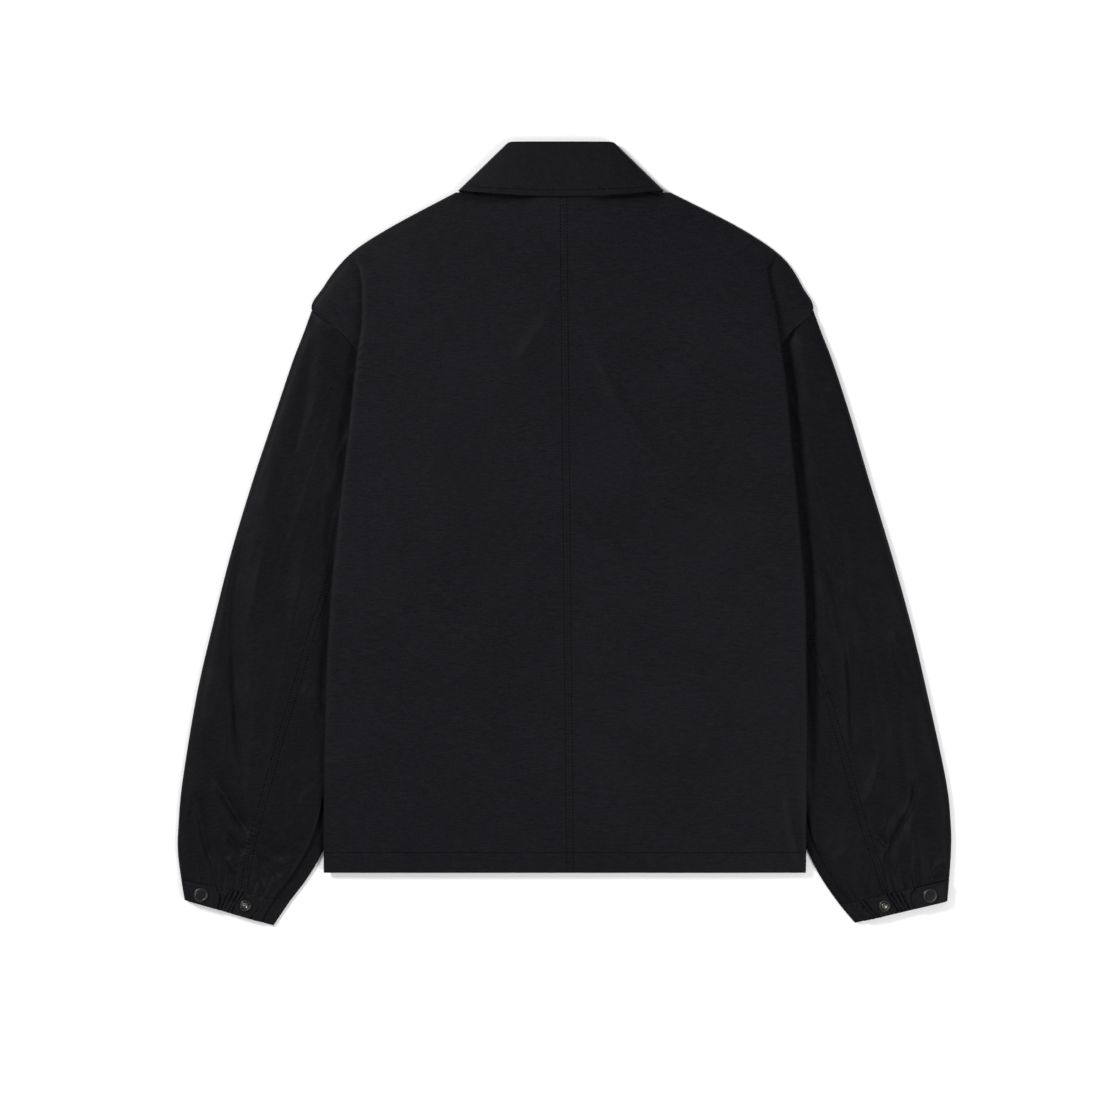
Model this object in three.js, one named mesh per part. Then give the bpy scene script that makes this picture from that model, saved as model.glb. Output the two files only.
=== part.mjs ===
// Cropped nylon jacket laid flat, face down: its back is up and its closed fronts lie on the surface.
// Millimetres, +Z up, +Y towards the collar, +X to the right. The wearer's left is at -X.
// Every cloth piece is one wall, made from a grid of points on its middle surface.
import * as THREE from "three";

// Driving dimensions
const WALL = 1.2;
const HALF_WALL = WALL / 2;
const SEAM_GAP = 0.3;
const ARMHOLE_GAP = 1.4;
const NECK_SEAM_GAP = 1.9;
const TOP_FOLD_HALF_GAP = 0.75;
const FLOOR = HALF_WALL;
const HEM_Y = -329;
const NECK_Y = 325.5;
const ARMPIT_Y = -12;
const SHOULDER_POINT_Y = 217;
const LONGEST_ROW_GAP = 44;
const BACK_COLUMNS = [0, 0.14, 0.28, 0.42, 0.56, 0.7, 0.82, 0.92];
const FRONT_COLUMNS = [0, 0.08, 0.12, 0.18, 0.24, 0.4, 0.6, 0.8, 1];
const FOLD_TURN = 1.8;
const LARGEST_TURN = 2.2;
const RIM_BEND = 4;
const FLAT_TO_EDGE = 10;
const PLACKET_OVERLAP = 14;
const PLACKET_EASE = 20;
const PLACKET_SLOPE = 16;
const NECK_HALF = 108;
const FRONT_NECK_DROP = 78;
const FRONT_NECK_FROM_Y = 150;
const COLLAR_LIFT = 2;
const COLLAR_LIFT_FROM = 110;
const COLLAR_LIFT_SLOPE = 50;
const SNAP_CAP_RADIUS = 7;
const SOCKET_RADIUS = 5.5;
const SNAP_SIDES = 28;
const SNAP_LIFT = 1.6;
const FRONT_SNAPS = 5;
const LOWEST_SNAP_Y = -300;
const HIGHEST_SNAP_Y = 150;

const NYLON = { color: 0x1c1a1f, roughness: 0.62, metalness: 0 };
const METAL = { color: 0x2b2a2c, roughness: 0.35, metalness: 0.8 };

// Body, a row for each level: half width to the side fold, depth of the hidden pleat under it,
// half width to the seam that ends the panel, and heights of the middle surface.
const BODY = [
  { y: -329, foldLeft: 233.5, foldRight: 233.6, tuck: 7, edgeLeft: 229.5, edgeRight: 229.6,
    crown: 9, fold: 8.4, under: 5.4, shelf: 4.4, rim: 3.6, frontRim: 2.4 },
  { y: -283, foldLeft: 233.5, foldRight: 234.3, tuck: 14, edgeLeft: 222.5, edgeRight: 223.3,
    crown: 15, fold: 13.5, under: 9.6, shelf: 7.6, rim: 5.8, frontRim: 4.4 },
  { y: -200, foldLeft: 232.5, foldRight: 235, tuck: 27, edgeLeft: 208.5, edgeRight: 211,
    crown: 19, fold: 17, under: 12.8, shelf: 8.5, rim: 6.4, frontRim: 5 },
  { y: -125, foldLeft: 230.6, foldRight: 234.3, tuck: 40, edgeLeft: 193.6, edgeRight: 197.3,
    crown: 21, fold: 17.5, under: 13, shelf: 8.5, rim: 6.4, frontRim: 5 },
  { y: -58, foldLeft: 226.7, foldRight: 233, tuck: 53, edgeLeft: 176.7, edgeRight: 183,
    crown: 22, fold: 17.5, under: 13, shelf: 8.5, rim: 6.4, frontRim: 5 },
  { y: -12, foldLeft: 222.2, foldRight: 229.2, tuck: 60, edgeLeft: 165.2, edgeRight: 172.2,
    crown: 22, fold: 17.5, under: 13, shelf: 8.6, rim: 6.6, frontRim: 4.6 },
  { y: 20, foldLeft: 219, foldRight: 226.5, tuck: 57, edgeLeft: 167, edgeRight: 174,
    crown: 22, fold: 17.5, under: 13, shelf: 9.2, rim: 8.6, frontRim: 2 },
  { y: 50, foldLeft: 215.5, foldRight: 223.5, tuck: 53, edgeLeft: 170, edgeRight: 177,
    crown: 22, fold: 17.5, under: 13, shelf: 9.4, rim: 9.2, frontRim: 0.6 },
  { y: 95, foldLeft: 210, foldRight: 219, tuck: 42, edgeLeft: 176, edgeRight: 184,
    crown: 22, fold: 17.5, under: 13, shelf: 9.4, rim: 9.2, frontRim: 0.6 },
  { y: 140, foldLeft: 205.3, foldRight: 215, tuck: 29, edgeLeft: 187, edgeRight: 196,
    crown: 22, fold: 17.5, under: 13, shelf: 9.4, rim: 9.2, frontRim: 0.6 },
  { y: 177, foldLeft: 201, foldRight: 210, tuck: 16, edgeLeft: 202, edgeRight: 208,
    crown: 21.5, fold: 17.5, under: 13.2, shelf: 9.4, rim: 8.8, frontRim: 0.6 },
  { y: 197, foldLeft: 197.6, foldRight: 206.8, tuck: 10, edgeLeft: 219.4, edgeRight: 221,
    crown: 21, fold: 17, under: 13.2, shelf: 9.4, rim: 6.6, frontRim: 0.8 },
  { y: 217, foldLeft: 196.3, foldRight: 203.5, tuck: 8, edgeLeft: 245.5, edgeRight: 241.2,
    crown: 20.5, fold: 16.5, under: 13, shelf: 9.4, rim: 2.9, frontRim: 0.6 },
  { y: 240, foldLeft: 196.5, foldRight: 198, tuck: 5, edgeLeft: 234, edgeRight: 230.8,
    crown: 19.5, fold: 15.5, under: 12.4, shelf: 9.4, rim: 2.9, frontRim: 0.6 },
  { y: 262, foldLeft: 198, foldRight: 194, tuck: 2, edgeLeft: 217.8, edgeRight: 217.2,
    crown: 18, fold: 13.5, under: 11, shelf: 8.6, rim: 2.9, frontRim: 0.6 },
  { y: 278, foldLeft: 188, foldRight: 187, tuck: -2, edgeLeft: 200.2, edgeRight: 199.5,
    crown: 16.5, fold: 10.5, under: 9.2, shelf: 7, rim: 2.9, frontRim: 0.6 },
  { y: 300, foldLeft: 152, foldRight: 151, tuck: -3, edgeLeft: 164.6, edgeRight: 164.2,
    crown: 15, fold: 9.6, under: 8.2, shelf: 6.2, rim: 2.9, frontRim: 0.6 },
  { y: 325.5, foldLeft: 103.5, foldRight: 101, tuck: -3, edgeLeft: 116.2, edgeRight: 113.4,
    crown: 13, fold: 8.6, under: 7.2, shelf: 5.4, rim: 2.9, frontRim: 0.6 },
];

// Sleeves, a row for each line across: outer fold, lower inner fold, how far the upper inner fold
// stays back from it, and the height of the upper layer. The last two rows bound the cuff.
const SLEEVE_LEFT = [
  { outerX: 246, outerY: 217, innerX: 166.2, innerY: -12, lap: 0, loft: 9.2 },
  { outerX: 254.2, outerY: 194, innerX: 172.5, innerY: -27, lap: 1, loft: 9.4 },
  { outerX: 264.5, outerY: 167, innerX: 176.9, innerY: -42, lap: 2, loft: 9.6 },
  { outerX: 281.6, outerY: 116, innerX: 182.5, innerY: -66, lap: 3, loft: 9.8 },
  { outerX: 302.3, outerY: 54, innerX: 190.5, innerY: -98, lap: 4, loft: 9.8 },
  { outerX: 323.4, outerY: -15.8, innerX: 201, innerY: -146, lap: 6, loft: 9.8 },
  { outerX: 341.3, outerY: -86, innerX: 211.5, innerY: -196, lap: 8, loft: 9.6 },
  { outerX: 357.4, outerY: -155.5, innerX: 220.5, innerY: -243, lap: 10, loft: 9.4 },
  { outerX: 371.4, outerY: -240, innerX: 229.5, innerY: -293, lap: 13, loft: 9 },
  { outerX: 375.4, outerY: -283, innerX: 240, innerY: -318, lap: 14, loft: 8.4 },
  { outerX: 376, outerY: -308, innerX: 252.5, innerY: -338, lap: 14.5, loft: 8.4 },
  { outerX: 372.8, outerY: -335, innerX: 267, innerY: -357, lap: 15, loft: 8.2 },
  { outerX: 369.4, outerY: -355.5, innerX: 283, innerY: -380.5, lap: 13, loft: 7.6 },
];
const SLEEVE_RIGHT = [
  { outerX: 241.8, outerY: 217, innerX: 173.4, innerY: -12, lap: 0, loft: 9.2 },
  { outerX: 250.2, outerY: 194, innerX: 179, innerY: -27, lap: 1, loft: 9.4 },
  { outerX: 260.5, outerY: 167, innerX: 183.2, innerY: -42, lap: 2, loft: 9.6 },
  { outerX: 277, outerY: 116, innerX: 189, innerY: -66, lap: 3, loft: 9.8 },
  { outerX: 295.2, outerY: 54, innerX: 196.5, innerY: -98, lap: 4, loft: 9.8 },
  { outerX: 316.4, outerY: -15.8, innerX: 205.5, innerY: -146, lap: 5, loft: 9.8 },
  { outerX: 336, outerY: -86, innerX: 215.5, innerY: -196, lap: 6, loft: 9.6 },
  { outerX: 352.4, outerY: -155.5, innerX: 224, innerY: -243, lap: 7, loft: 9.4 },
  { outerX: 370.6, outerY: -240, innerX: 231, innerY: -293, lap: 8, loft: 9 },
  { outerX: 375.2, outerY: -283, innerX: 240.5, innerY: -318, lap: 9, loft: 8.4 },
  { outerX: 375.4, outerY: -308, innerX: 251.5, innerY: -338, lap: 9.5, loft: 8.4 },
  { outerX: 373.6, outerY: -335, innerX: 267, innerY: -360, lap: 10, loft: 8.2 },
  { outerX: 371.8, outerY: -356.8, innerX: 282, innerY: -378, lap: 9, loft: 7.6 },
];
const CUFF_ROW = 11;
const BACK_SEAM_LEFT = [0.66, 0.66, 0.66, 0.66, 0.65, 0.63, 0.61, 0.58, 0.54, 0.53, 0.55, 0.58, 0.62];
const BACK_SEAM_RIGHT = [0.66, 0.66, 0.67, 0.69, 0.71, 0.7, 0.67, 0.64, 0.6, 0.58, 0.57, 0.58, 0.62];
const FRONT_SEAM_SHARE = 0.5;
const ARMHOLE_FADE_ROWS = 5;
const OUTER_FOLD_START = 14;
const INNER_FOLD_START = 9;
const DEEPEST_LAP = 12;

// Largest folds, a row for each: a line in plan from one end to the other, its bow to the side,
// its half width, and its height, where less than zero is a trough.
const BACK_FOLDS = [
  { fromX: 24, fromY: 178, toX: 140, toY: -16, bow: 6, reach: 9, rise: 2.2 },
  { fromX: -8, fromY: 214, toX: -48, toY: 158, bow: 2, reach: 12, rise: 1.6 },
  { fromX: 10, fromY: 8, toX: 205, toY: -228, bow: -14, reach: 26, rise: 2 },
  { fromX: -4, fromY: 52, toX: -44, toY: -45, bow: 4, reach: 22, rise: 1.5 },
];
const SLEEVE_FOLDS_LEFT = [
  { fromX: -318, fromY: -11, toX: -311, toY: -268, bow: -14, reach: 9, rise: -3 },
  { fromX: -286, fromY: 64, toX: -311, toY: -110, bow: -4, reach: 12, rise: 2 },
  { fromX: -252, fromY: 8, toX: -278, toY: -115, bow: -4, reach: 12, rise: 1.8 },
  { fromX: -226, fromY: 130, toX: -219, toY: 30, bow: 5, reach: 8, rise: 1.6 },
];
const SLEEVE_FOLDS_RIGHT = [
  { fromX: 266, fromY: -26, toX: 281, toY: -214, bow: 3, reach: 9, rise: -3 },
  { fromX: 338, fromY: -266, toX: 314, toY: -325, bow: 2, reach: 8, rise: -2.6 },
  { fromX: 222, fromY: 205, toX: 236, toY: 100, bow: -3, reach: 10, rise: 1.8 },
  { fromX: 318, fromY: -87, toX: 326, toY: -121, bow: 2, reach: 10, rise: -1.6 },
];

// Collar, one ring folded flat: half widths and levels at the top fold, the free edge and the neck seam.
const COLLAR = { centreX: -3.5, topHalf: 51.5, freeHalf: 100, neckHalf: 103, topY: 380.4, freeY: 327,
  freeSideRise: 6, standGap: 2.6, foldHeight: 13, backHeight: 17, sideFall: 6, pointLength: 14 };

// Cuff tabs and snaps, placed along the cuff as a share of its width from the outer fold.
const TAB_END_SHARE = 0.37;
const CAP_SHARE = 0.19;
const SOCKET_SHARE = 0.64;
const TAB_COLUMNS = [0, 0.2, 0.4, 0.6, 0.72, 0.82, 0.9, 0.96, 1];
const TAB_START_SHARE = 0.03;
const TAB_ROUND_FROM = 0.72;
const TAB_HALF_ROWS = 0.4;
const CUFF_MIDDLE = 0.52;
const TAB_LIFT = 2.9;
const CUFF_WAVES = 9;
const CUFF_WAVE_HEIGHT = 0.8;
const CUFF_DEPTH = 24;
const CUFF_COLUMNS = 40;

const smooth = (value) => {
  const t = THREE.MathUtils.clamp(value, 0, 1);
  return t * t * (3 - 2 * t);
};
const mix = (a, b, share) => a + (b - a) * share;
const V = (x, y, z) => new THREE.Vector3(x, y, z);

// A column of a table at any level, by a smooth curve through its rows.
function column(table, name, key, value) {
  const last = table.length - 1;
  let i = 0;
  while (i < last - 1 && value > table[i + 1][key]) i += 1;
  const slope = (k) => {
    const lo = table[Math.max(k - 1, 0)];
    const hi = table[Math.min(k + 1, last)];
    return (hi[name] - lo[name]) / (hi[key] - lo[key]);
  };
  const a = table[i];
  const b = table[i + 1];
  const span = b[key] - a[key];
  const t = THREE.MathUtils.clamp((value - a[key]) / span, 0, 1);
  const rise = (t ** 3 - 2 * t ** 2 + t) * slope(i) + (t ** 3 - t ** 2) * slope(i + 1);
  return mix(a[name], b[name], smooth(t)) + rise * span;
}

// Height that a table of folds adds at a point in plan.
function foldHeight(folds, x, y) {
  let height = 0;
  for (const fold of folds) {
    const alongX = fold.toX - fold.fromX;
    const alongY = fold.toY - fold.fromY;
    const length = Math.hypot(alongX, alongY);
    const share = ((x - fold.fromX) * alongX + (y - fold.fromY) * alongY) / length ** 2;
    const aside = ((x - fold.fromX) * alongY - (y - fold.fromY) * alongX) / length;
    const bend = fold.bow * (1 - (2 * share - 1) ** 2);
    const fade = smooth(share / 0.3) * smooth((1 - share) / 0.3);
    height += fold.rise * fade * Math.exp(-(((aside - bend) / fold.reach) ** 2));
  }
  return height;
}

// One closed wall from a grid of middle points: the two faces lie half a wall along the normals.
function wall(name, grid, finish = NYLON, half = HALF_WALL) {
  const rows = grid.length;
  const columns = grid[0].length;
  const positions = [];
  const normalAt = (r, c) => {
    const across = grid[r][Math.min(c + 1, columns - 1)].clone().sub(grid[r][Math.max(c - 1, 0)]);
    const along = grid[Math.min(r + 1, rows - 1)][c].clone().sub(grid[Math.max(r - 1, 0)][c]);
    return across.cross(along).normalize();
  };
  for (const side of [1, -1]) {
    for (let r = 0; r < rows; r += 1) {
      for (let c = 0; c < columns; c += 1) {
        const point = grid[r][c].clone().addScaledVector(normalAt(r, c), side * half);
        positions.push(point.x, point.y, Math.max(point.z, 0));
      }
    }
  }
  const index = [];
  const count = rows * columns;
  const at = (r, c, side) => side * count + r * columns + c;
  const quad = (a, b, c, d) => index.push(a, b, c, a, c, d);
  for (let r = 0; r < rows - 1; r += 1) {
    for (let c = 0; c < columns - 1; c += 1) {
      quad(at(r, c, 0), at(r, c + 1, 0), at(r + 1, c + 1, 0), at(r + 1, c, 0));
      quad(at(r, c, 1), at(r + 1, c, 1), at(r + 1, c + 1, 1), at(r, c + 1, 1));
    }
  }
  for (let c = 0; c < columns - 1; c += 1) {
    quad(at(0, c, 0), at(0, c, 1), at(0, c + 1, 1), at(0, c + 1, 0));
    quad(at(rows - 1, c, 0), at(rows - 1, c + 1, 0), at(rows - 1, c + 1, 1), at(rows - 1, c, 1));
  }
  for (let r = 0; r < rows - 1; r += 1) {
    quad(at(r, 0, 0), at(r + 1, 0, 0), at(r + 1, 0, 1), at(r, 0, 1));
    quad(at(r, columns - 1, 0), at(r, columns - 1, 1), at(r + 1, columns - 1, 1), at(r + 1, columns - 1, 0));
  }
  const geometry = new THREE.BufferGeometry();
  geometry.setAttribute("position", new THREE.Float32BufferAttribute(positions, 3));
  geometry.setIndex(index);
  const mesh = new THREE.Mesh(geometry, new THREE.MeshStandardMaterial(finish));
  mesh.name = name;
  return mesh;
}

const sideName = (side) => (side < 0 ? "Left" : "Right");
const bodyAt = (name, y) => column(BODY, name, "y", y);
const centreSeamX = (y) => mix(5.1, -1.4, (y - HEM_Y) / (NECK_Y - HEM_Y));
const frontNeckDrop = (x) => FRONT_NECK_DROP * Math.max(0, 1 - (x / NECK_HALF) ** 2);
const backNeckRise = (x) => 3 * smooth((Math.abs(x) - 80) / 35);

// Levels of the body's rows: those of the table, and one halfway where they are far apart.
function bodyLevels() {
  const levels = [BODY[0].y];
  for (let i = 1; i < BODY.length; i += 1) {
    const gap = BODY[i].y - BODY[i - 1].y;
    if (gap > LONGEST_ROW_GAP) levels.push(BODY[i].y - gap / 2);
    levels.push(BODY[i].y);
  }
  return levels;
}

// Points of a back panel at one level, from the centre seam over the side fold to the panel's seam.
function backProfile(side, y) {
  const fold = bodyAt(`fold${sideName(side)}`, y);
  const edge = bodyAt(`edge${sideName(side)}`, y) - SEAM_GAP;
  const tuck = bodyAt("tuck", y);
  const crown = bodyAt("crown", y);
  const top = bodyAt("fold", y);
  const under = bodyAt("under", y);
  const shelf = bodyAt("shelf", y);
  const rim = bodyAt("rim", y);
  const start = side * centreSeamX(y) + SEAM_GAP / 2;
  const points = [];
  for (const share of BACK_COLUMNS) {
    const x = mix(start, fold - 3, share);
    const crease = foldHeight(BACK_FOLDS, side * x, y) * smooth((1 - share) / 0.15);
    points.push([x, mix(crown, top, share ** 2) + crease]);
  }
  const turn = Math.min(Math.max(tuck, 0) * 0.3, LARGEST_TURN);
  const spread = Math.min(tuck, 0) * 0.3;
  const inner = fold - tuck;
  points.push([fold - FOLD_TURN, top - 0.3], [fold, mix(top, under, 0.5)]);
  points.push([fold - turn - spread, under + 0.3], [inner + turn + spread, under - 0.3]);
  points.push([inner, mix(under, shelf, 0.5)], [inner + FOLD_TURN, shelf]);
  const onShoulder = y > SHOULDER_POINT_Y - 30;
  const bend = Math.min(RIM_BEND, 0.3 * (edge - inner - FOLD_TURN));
  points.push([mix(inner + FOLD_TURN, edge, 0.5), mix(shelf, rim, onShoulder ? 0.08 : 0.4)]);
  points.push([edge - bend, mix(shelf, rim, onShoulder ? 0.45 : 0.75)], [edge, rim]);
  return points;
}

function backPanel(side) {
  const grid = bodyLevels().map((y) => backProfile(side, y).map(([x, z]) => {
    const rise = backNeckRise(x) * smooth((y - 300) / 25);
    return V(side * x, y + rise, z);
  }));
  return wall(`back_${sideName(side).toLowerCase()}`, grid);
}

// How far a front is held off the surface by the collar below it and by the snaps of the closure.
// The left front is the outer one, so the right one lies on it at the centre.
function frontLift(side, x, y) {
  const neckY = NECK_Y - frontNeckDrop(x);
  const overCollar = COLLAR_LIFT * smooth((y - neckY + COLLAR_LIFT_FROM) / COLLAR_LIFT_SLOPE);
  const overSnaps = SNAP_LIFT * smooth((PLACKET_OVERLAP + PLACKET_EASE - side * x) / PLACKET_SLOPE);
  const overSnapsLeft = SNAP_LIFT * smooth((x + PLACKET_OVERLAP + PLACKET_EASE) / PLACKET_SLOPE);
  return side < 0 ? Math.max(overCollar, overSnapsLeft) : Math.max(overCollar, overSnaps) + overSnaps;
}

function frontPanel(side) {
  const grid = bodyLevels().map((y) => {
    const edge = bodyAt(`edge${sideName(side)}`, y) - SEAM_GAP;
    const rim = bodyAt("frontRim", y);
    const points = FRONT_COLUMNS.map((share) => {
      const x = mix(-PLACKET_OVERLAP, edge - FLAT_TO_EDGE, share);
      const nearNeck = smooth((y - FRONT_NECK_FROM_Y) / (NECK_Y - FRONT_NECK_FROM_Y));
      const dropped = y - frontNeckDrop(x) * nearNeck;
      return V(side * x, dropped, FLOOR + frontLift(side, side * x, dropped));
    });
    points.push(V(side * (edge - 5.5), y, FLOOR), V(side * (edge - 1.8), y, mix(FLOOR, rim, 0.25)));
    points.push(V(side * edge, y, rim));
    return points;
  });
  return wall(`front_${sideName(side).toLowerCase()}`, grid);
}

// The line across a sleeve at a row of its table, or between two rows.
function sleeveAt(side, row) {
  const table = side < 0 ? SLEEVE_LEFT : SLEEVE_RIGHT;
  const lower = Math.min(Math.floor(row), table.length - 2);
  const line = {};
  for (const key of Object.keys(table[0])) {
    line[key] = mix(table[lower][key], table[lower + 1][key], row - lower);
  }
  line.width = Math.hypot(line.outerX - line.innerX, line.outerY - line.innerY);
  return line;
}

// A point across a sleeve: share 0 is the outer fold and 1 the lower inner fold. The first rows
// bend to the armhole, which is the edge of the body's panels.
function sleevePoint(side, row, share) {
  const line = sleeveAt(side, row);
  const first = sleeveAt(side, 0);
  const armholeY = mix(SHOULDER_POINT_Y, ARMPIT_Y, share);
  const armholeX = bodyAt(`edge${sideName(side)}`, armholeY) + ARMHOLE_GAP;
  const fade = Math.max(0, 1 - row / ARMHOLE_FADE_ROWS) ** 2;
  const bulgeX = armholeX - mix(first.outerX, first.innerX, share);
  const bulgeY = armholeY - mix(first.outerY, first.innerY, share);
  return [
    mix(line.outerX, line.innerX, share) + fade * bulgeX,
    mix(line.outerY, line.innerY, share) + fade * bulgeY,
  ];
}

// Turns distances across a sleeve and heights into points. Only upper points take the folds.
function sleeveLine(side, row, profile) {
  const { width } = sleeveAt(side, row);
  const folds = side < 0 ? SLEEVE_FOLDS_LEFT : SLEEVE_FOLDS_RIGHT;
  return profile.map(([distance, z, upper]) => {
    const [x, y] = sleevePoint(side, row, distance / width);
    const crease = upper && row < CUFF_ROW ? foldHeight(folds, side * x, y) : 0;
    return V(side * x, y, Math.max(z + crease, FLOOR));
  });
}

// Height of the upper layer: at the armhole it is the height of the body's edge.
function sleeveHeight(side, row, share) {
  if (row > 0) return sleeveAt(side, row).loft;
  return bodyAt("rim", mix(SHOULDER_POINT_Y, ARMPIT_Y, share));
}

// Outer fold of a sleeve or cuff, from the upper layer round to the one on the surface.
function outerFold(side, row) {
  const { width } = sleeveAt(side, row);
  const height = (distance) => sleeveHeight(side, row, distance / width);
  return [
    [OUTER_FOLD_START, height(OUTER_FOLD_START) * 0.98, true], [6, height(6) * 0.84, true],
    [2, Math.min(height(2) * 0.66, 5.6), false], [HALF_WALL, Math.min(height(0) * 0.6, 3), false],
    [2, 1.1, false], [6, FLOOR, false],
  ];
}

// Inner fold: the upper fold stays back from the lower one, with a tuck between them.
function innerFold(side, row) {
  const { width, lap } = sleeveAt(side, row);
  const height = sleeveHeight(side, row, 0.92);
  const tucked = Math.min(lap / DEEPEST_LAP, 1);
  const fold = width - lap;
  return [
    [fold - INNER_FOLD_START, height, false], [fold - 2.4, height * 0.92, false],
    [fold - HALF_WALL, height * 0.76, false], [fold - HALF_WALL - 5 * tucked, height * 0.58, false],
    [width - HALF_WALL - 4.4 * tucked, mix(height * 0.45, 3.6, tucked), false],
    [width - HALF_WALL, 2.2, false], [width - 2.2, 1, false], [width - 6, FLOOR, false],
  ];
}

function backSeamShare(side, row) {
  return (side < 0 ? BACK_SEAM_LEFT : BACK_SEAM_RIGHT)[row];
}

// Upper sleeve: from the back seam over the outer fold to the front seam underneath.
function upperSleeveProfile(side, row) {
  const { width } = sleeveAt(side, row);
  const backSeam = width * backSeamShare(side, row) - SEAM_GAP / 2;
  const frontSeam = width * FRONT_SEAM_SHARE - SEAM_GAP / 2;
  const upper = [1, 0.86, 0.72, 0.58, 0.44, 0.3, 0.16].map((share) => {
    const distance = mix(OUTER_FOLD_START, backSeam, share);
    return [distance, sleeveHeight(side, row, distance / width), true];
  });
  const lower = [0.35, 0.7, 1].map((share) => [mix(6, frontSeam, share), FLOOR, false]);
  return [...upper, ...outerFold(side, row), ...lower];
}

// Under sleeve: from the back seam over the inner fold to the front seam underneath.
function underSleeveProfile(side, row) {
  const { width, lap } = sleeveAt(side, row);
  const backSeam = width * backSeamShare(side, row) + SEAM_GAP / 2;
  const halfway = mix(backSeam, width - lap - INNER_FOLD_START, 0.5);
  const upper = [backSeam, halfway].map((distance) => {
    return [distance, sleeveHeight(side, row, distance / width), true];
  });
  const frontSeam = width * FRONT_SEAM_SHARE + SEAM_GAP / 2;
  const lower = [[mix(width - 6, frontSeam, 0.5), FLOOR, false], [frontSeam, FLOOR, false]];
  return [...upper, ...innerFold(side, row), ...lower];
}

function sleevePieces(side) {
  const name = sideName(side).toLowerCase();
  const rows = SLEEVE_LEFT.slice(0, CUFF_ROW + 1).map((_, row) => row);
  const upper = rows.map((row) => sleeveLine(side, row, upperSleeveProfile(side, row)));
  const under = rows.map((row) => sleeveLine(side, row, underSleeveProfile(side, row)));
  return [wall(`sleeve_${name}_upper`, upper), wall(`sleeve_${name}_under`, under)];
}

// Gathered band: a ring with waves in its upper layer, closed by a seam underneath.
const cuffWave = (share) => CUFF_WAVE_HEIGHT
  * (Math.sin(2 * Math.PI * CUFF_WAVES * share) + 0.5 * Math.sin(4.6 * Math.PI * CUFF_WAVES * share + 1));

function cuffBand(side) {
  const gapRow = 2 * SEAM_GAP / CUFF_DEPTH;
  const grid = [gapRow, 0.3, 0.65, 1].map((depth) => {
    const row = CUFF_ROW + depth;
    const { width, lap } = sleeveAt(side, row);
    const middle = width * FRONT_SEAM_SHARE;
    const upper = [];
    for (let i = 1; i < CUFF_COLUMNS; i += 1) {
      const distance = mix(width - lap - INNER_FOLD_START, OUTER_FOLD_START, i / CUFF_COLUMNS);
      const share = distance / width;
      const fade = smooth(depth / 0.2);
      upper.push([distance, sleeveHeight(side, row, share) + fade * cuffWave(share), false]);
    }
    const bottom = [width * 0.7, middle + SEAM_GAP / 2].map((distance) => [distance, FLOOR, false]);
    const profile = [...bottom.reverse(), ...innerFold(side, row).reverse(), ...upper];
    profile.push(...outerFold(side, row), [width * 0.3, FLOOR, false], [middle - SEAM_GAP / 2, FLOOR, false]);
    return sleeveLine(side, row, profile);
  });
  return wall(`cuff_${sideName(side).toLowerCase()}`, grid);
}

// Tab over the cuff, sewn in at the outer fold, with a rounded free end.
function cuffTab(side) {
  const grid = [-1, -0.5, 0, 0.5, 1].map((across) => TAB_COLUMNS.map((along) => {
    const intoEnd = Math.max(0, (along - TAB_ROUND_FROM) / (1 - TAB_ROUND_FROM));
    const round = Math.sqrt(Math.max(0, 1 - intoEnd ** 2));
    const row = CUFF_ROW + CUFF_MIDDLE + TAB_HALF_ROWS * across * Math.max(round, 0.12);
    const share = mix(TAB_START_SHARE, TAB_END_SHARE, along);
    const [x, y] = sleevePoint(side, row, share);
    const rounding = mix(0.8, 1, smooth(along / 0.25));
    return V(side * x, y, sleeveAt(side, row).loft * rounding + TAB_LIFT);
  }));
  return wall(`cuff_tab_${sideName(side).toLowerCase()}`, grid);
}

// Press-snap parts, turned about their own axis.
function turned(name, profile, x, y, z) {
  const points = profile.map(([radius, height]) => new THREE.Vector2(radius, height));
  const geometry = new THREE.LatheGeometry(points, SNAP_SIDES).rotateX(Math.PI / 2);
  const mesh = new THREE.Mesh(geometry, new THREE.MeshStandardMaterial(METAL));
  mesh.name = name;
  mesh.position.set(x, y, z);
  return mesh;
}

function cuffSnaps(side) {
  const name = sideName(side).toLowerCase();
  const row = CUFF_ROW + CUFF_MIDDLE;
  const { loft } = sleeveAt(side, row);
  const r = SNAP_CAP_RADIUS;
  const cap = [[0, 0], [r - 0.4, 0], [r, 0.4], [r - 0.3, 1.2], [r - 1.6, 1.9], [r - 2.6, 1.6], [0, 1.9]];
  const s = SOCKET_RADIUS;
  const socket = [[0, 0], [s - 0.3, 0], [s, 0.4], [s - 0.5, 1.2], [s - 1.6, 1.5], [s - 2.4, 0.9], [0, 0.9]];
  const [capX, capY] = sleevePoint(side, row, CAP_SHARE);
  const [socketX, socketY] = sleevePoint(side, row, SOCKET_SHARE);
  const capZ = loft + TAB_LIFT + HALF_WALL + SEAM_GAP;
  const socketZ = loft + 1.4 * CUFF_WAVE_HEIGHT + HALF_WALL + SEAM_GAP;
  return [
    turned(`snap_cap_${name}`, cap, side * capX, capY, capZ),
    turned(`snap_socket_${name}`, socket, side * socketX, socketY, socketZ),
  ];
}

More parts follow.
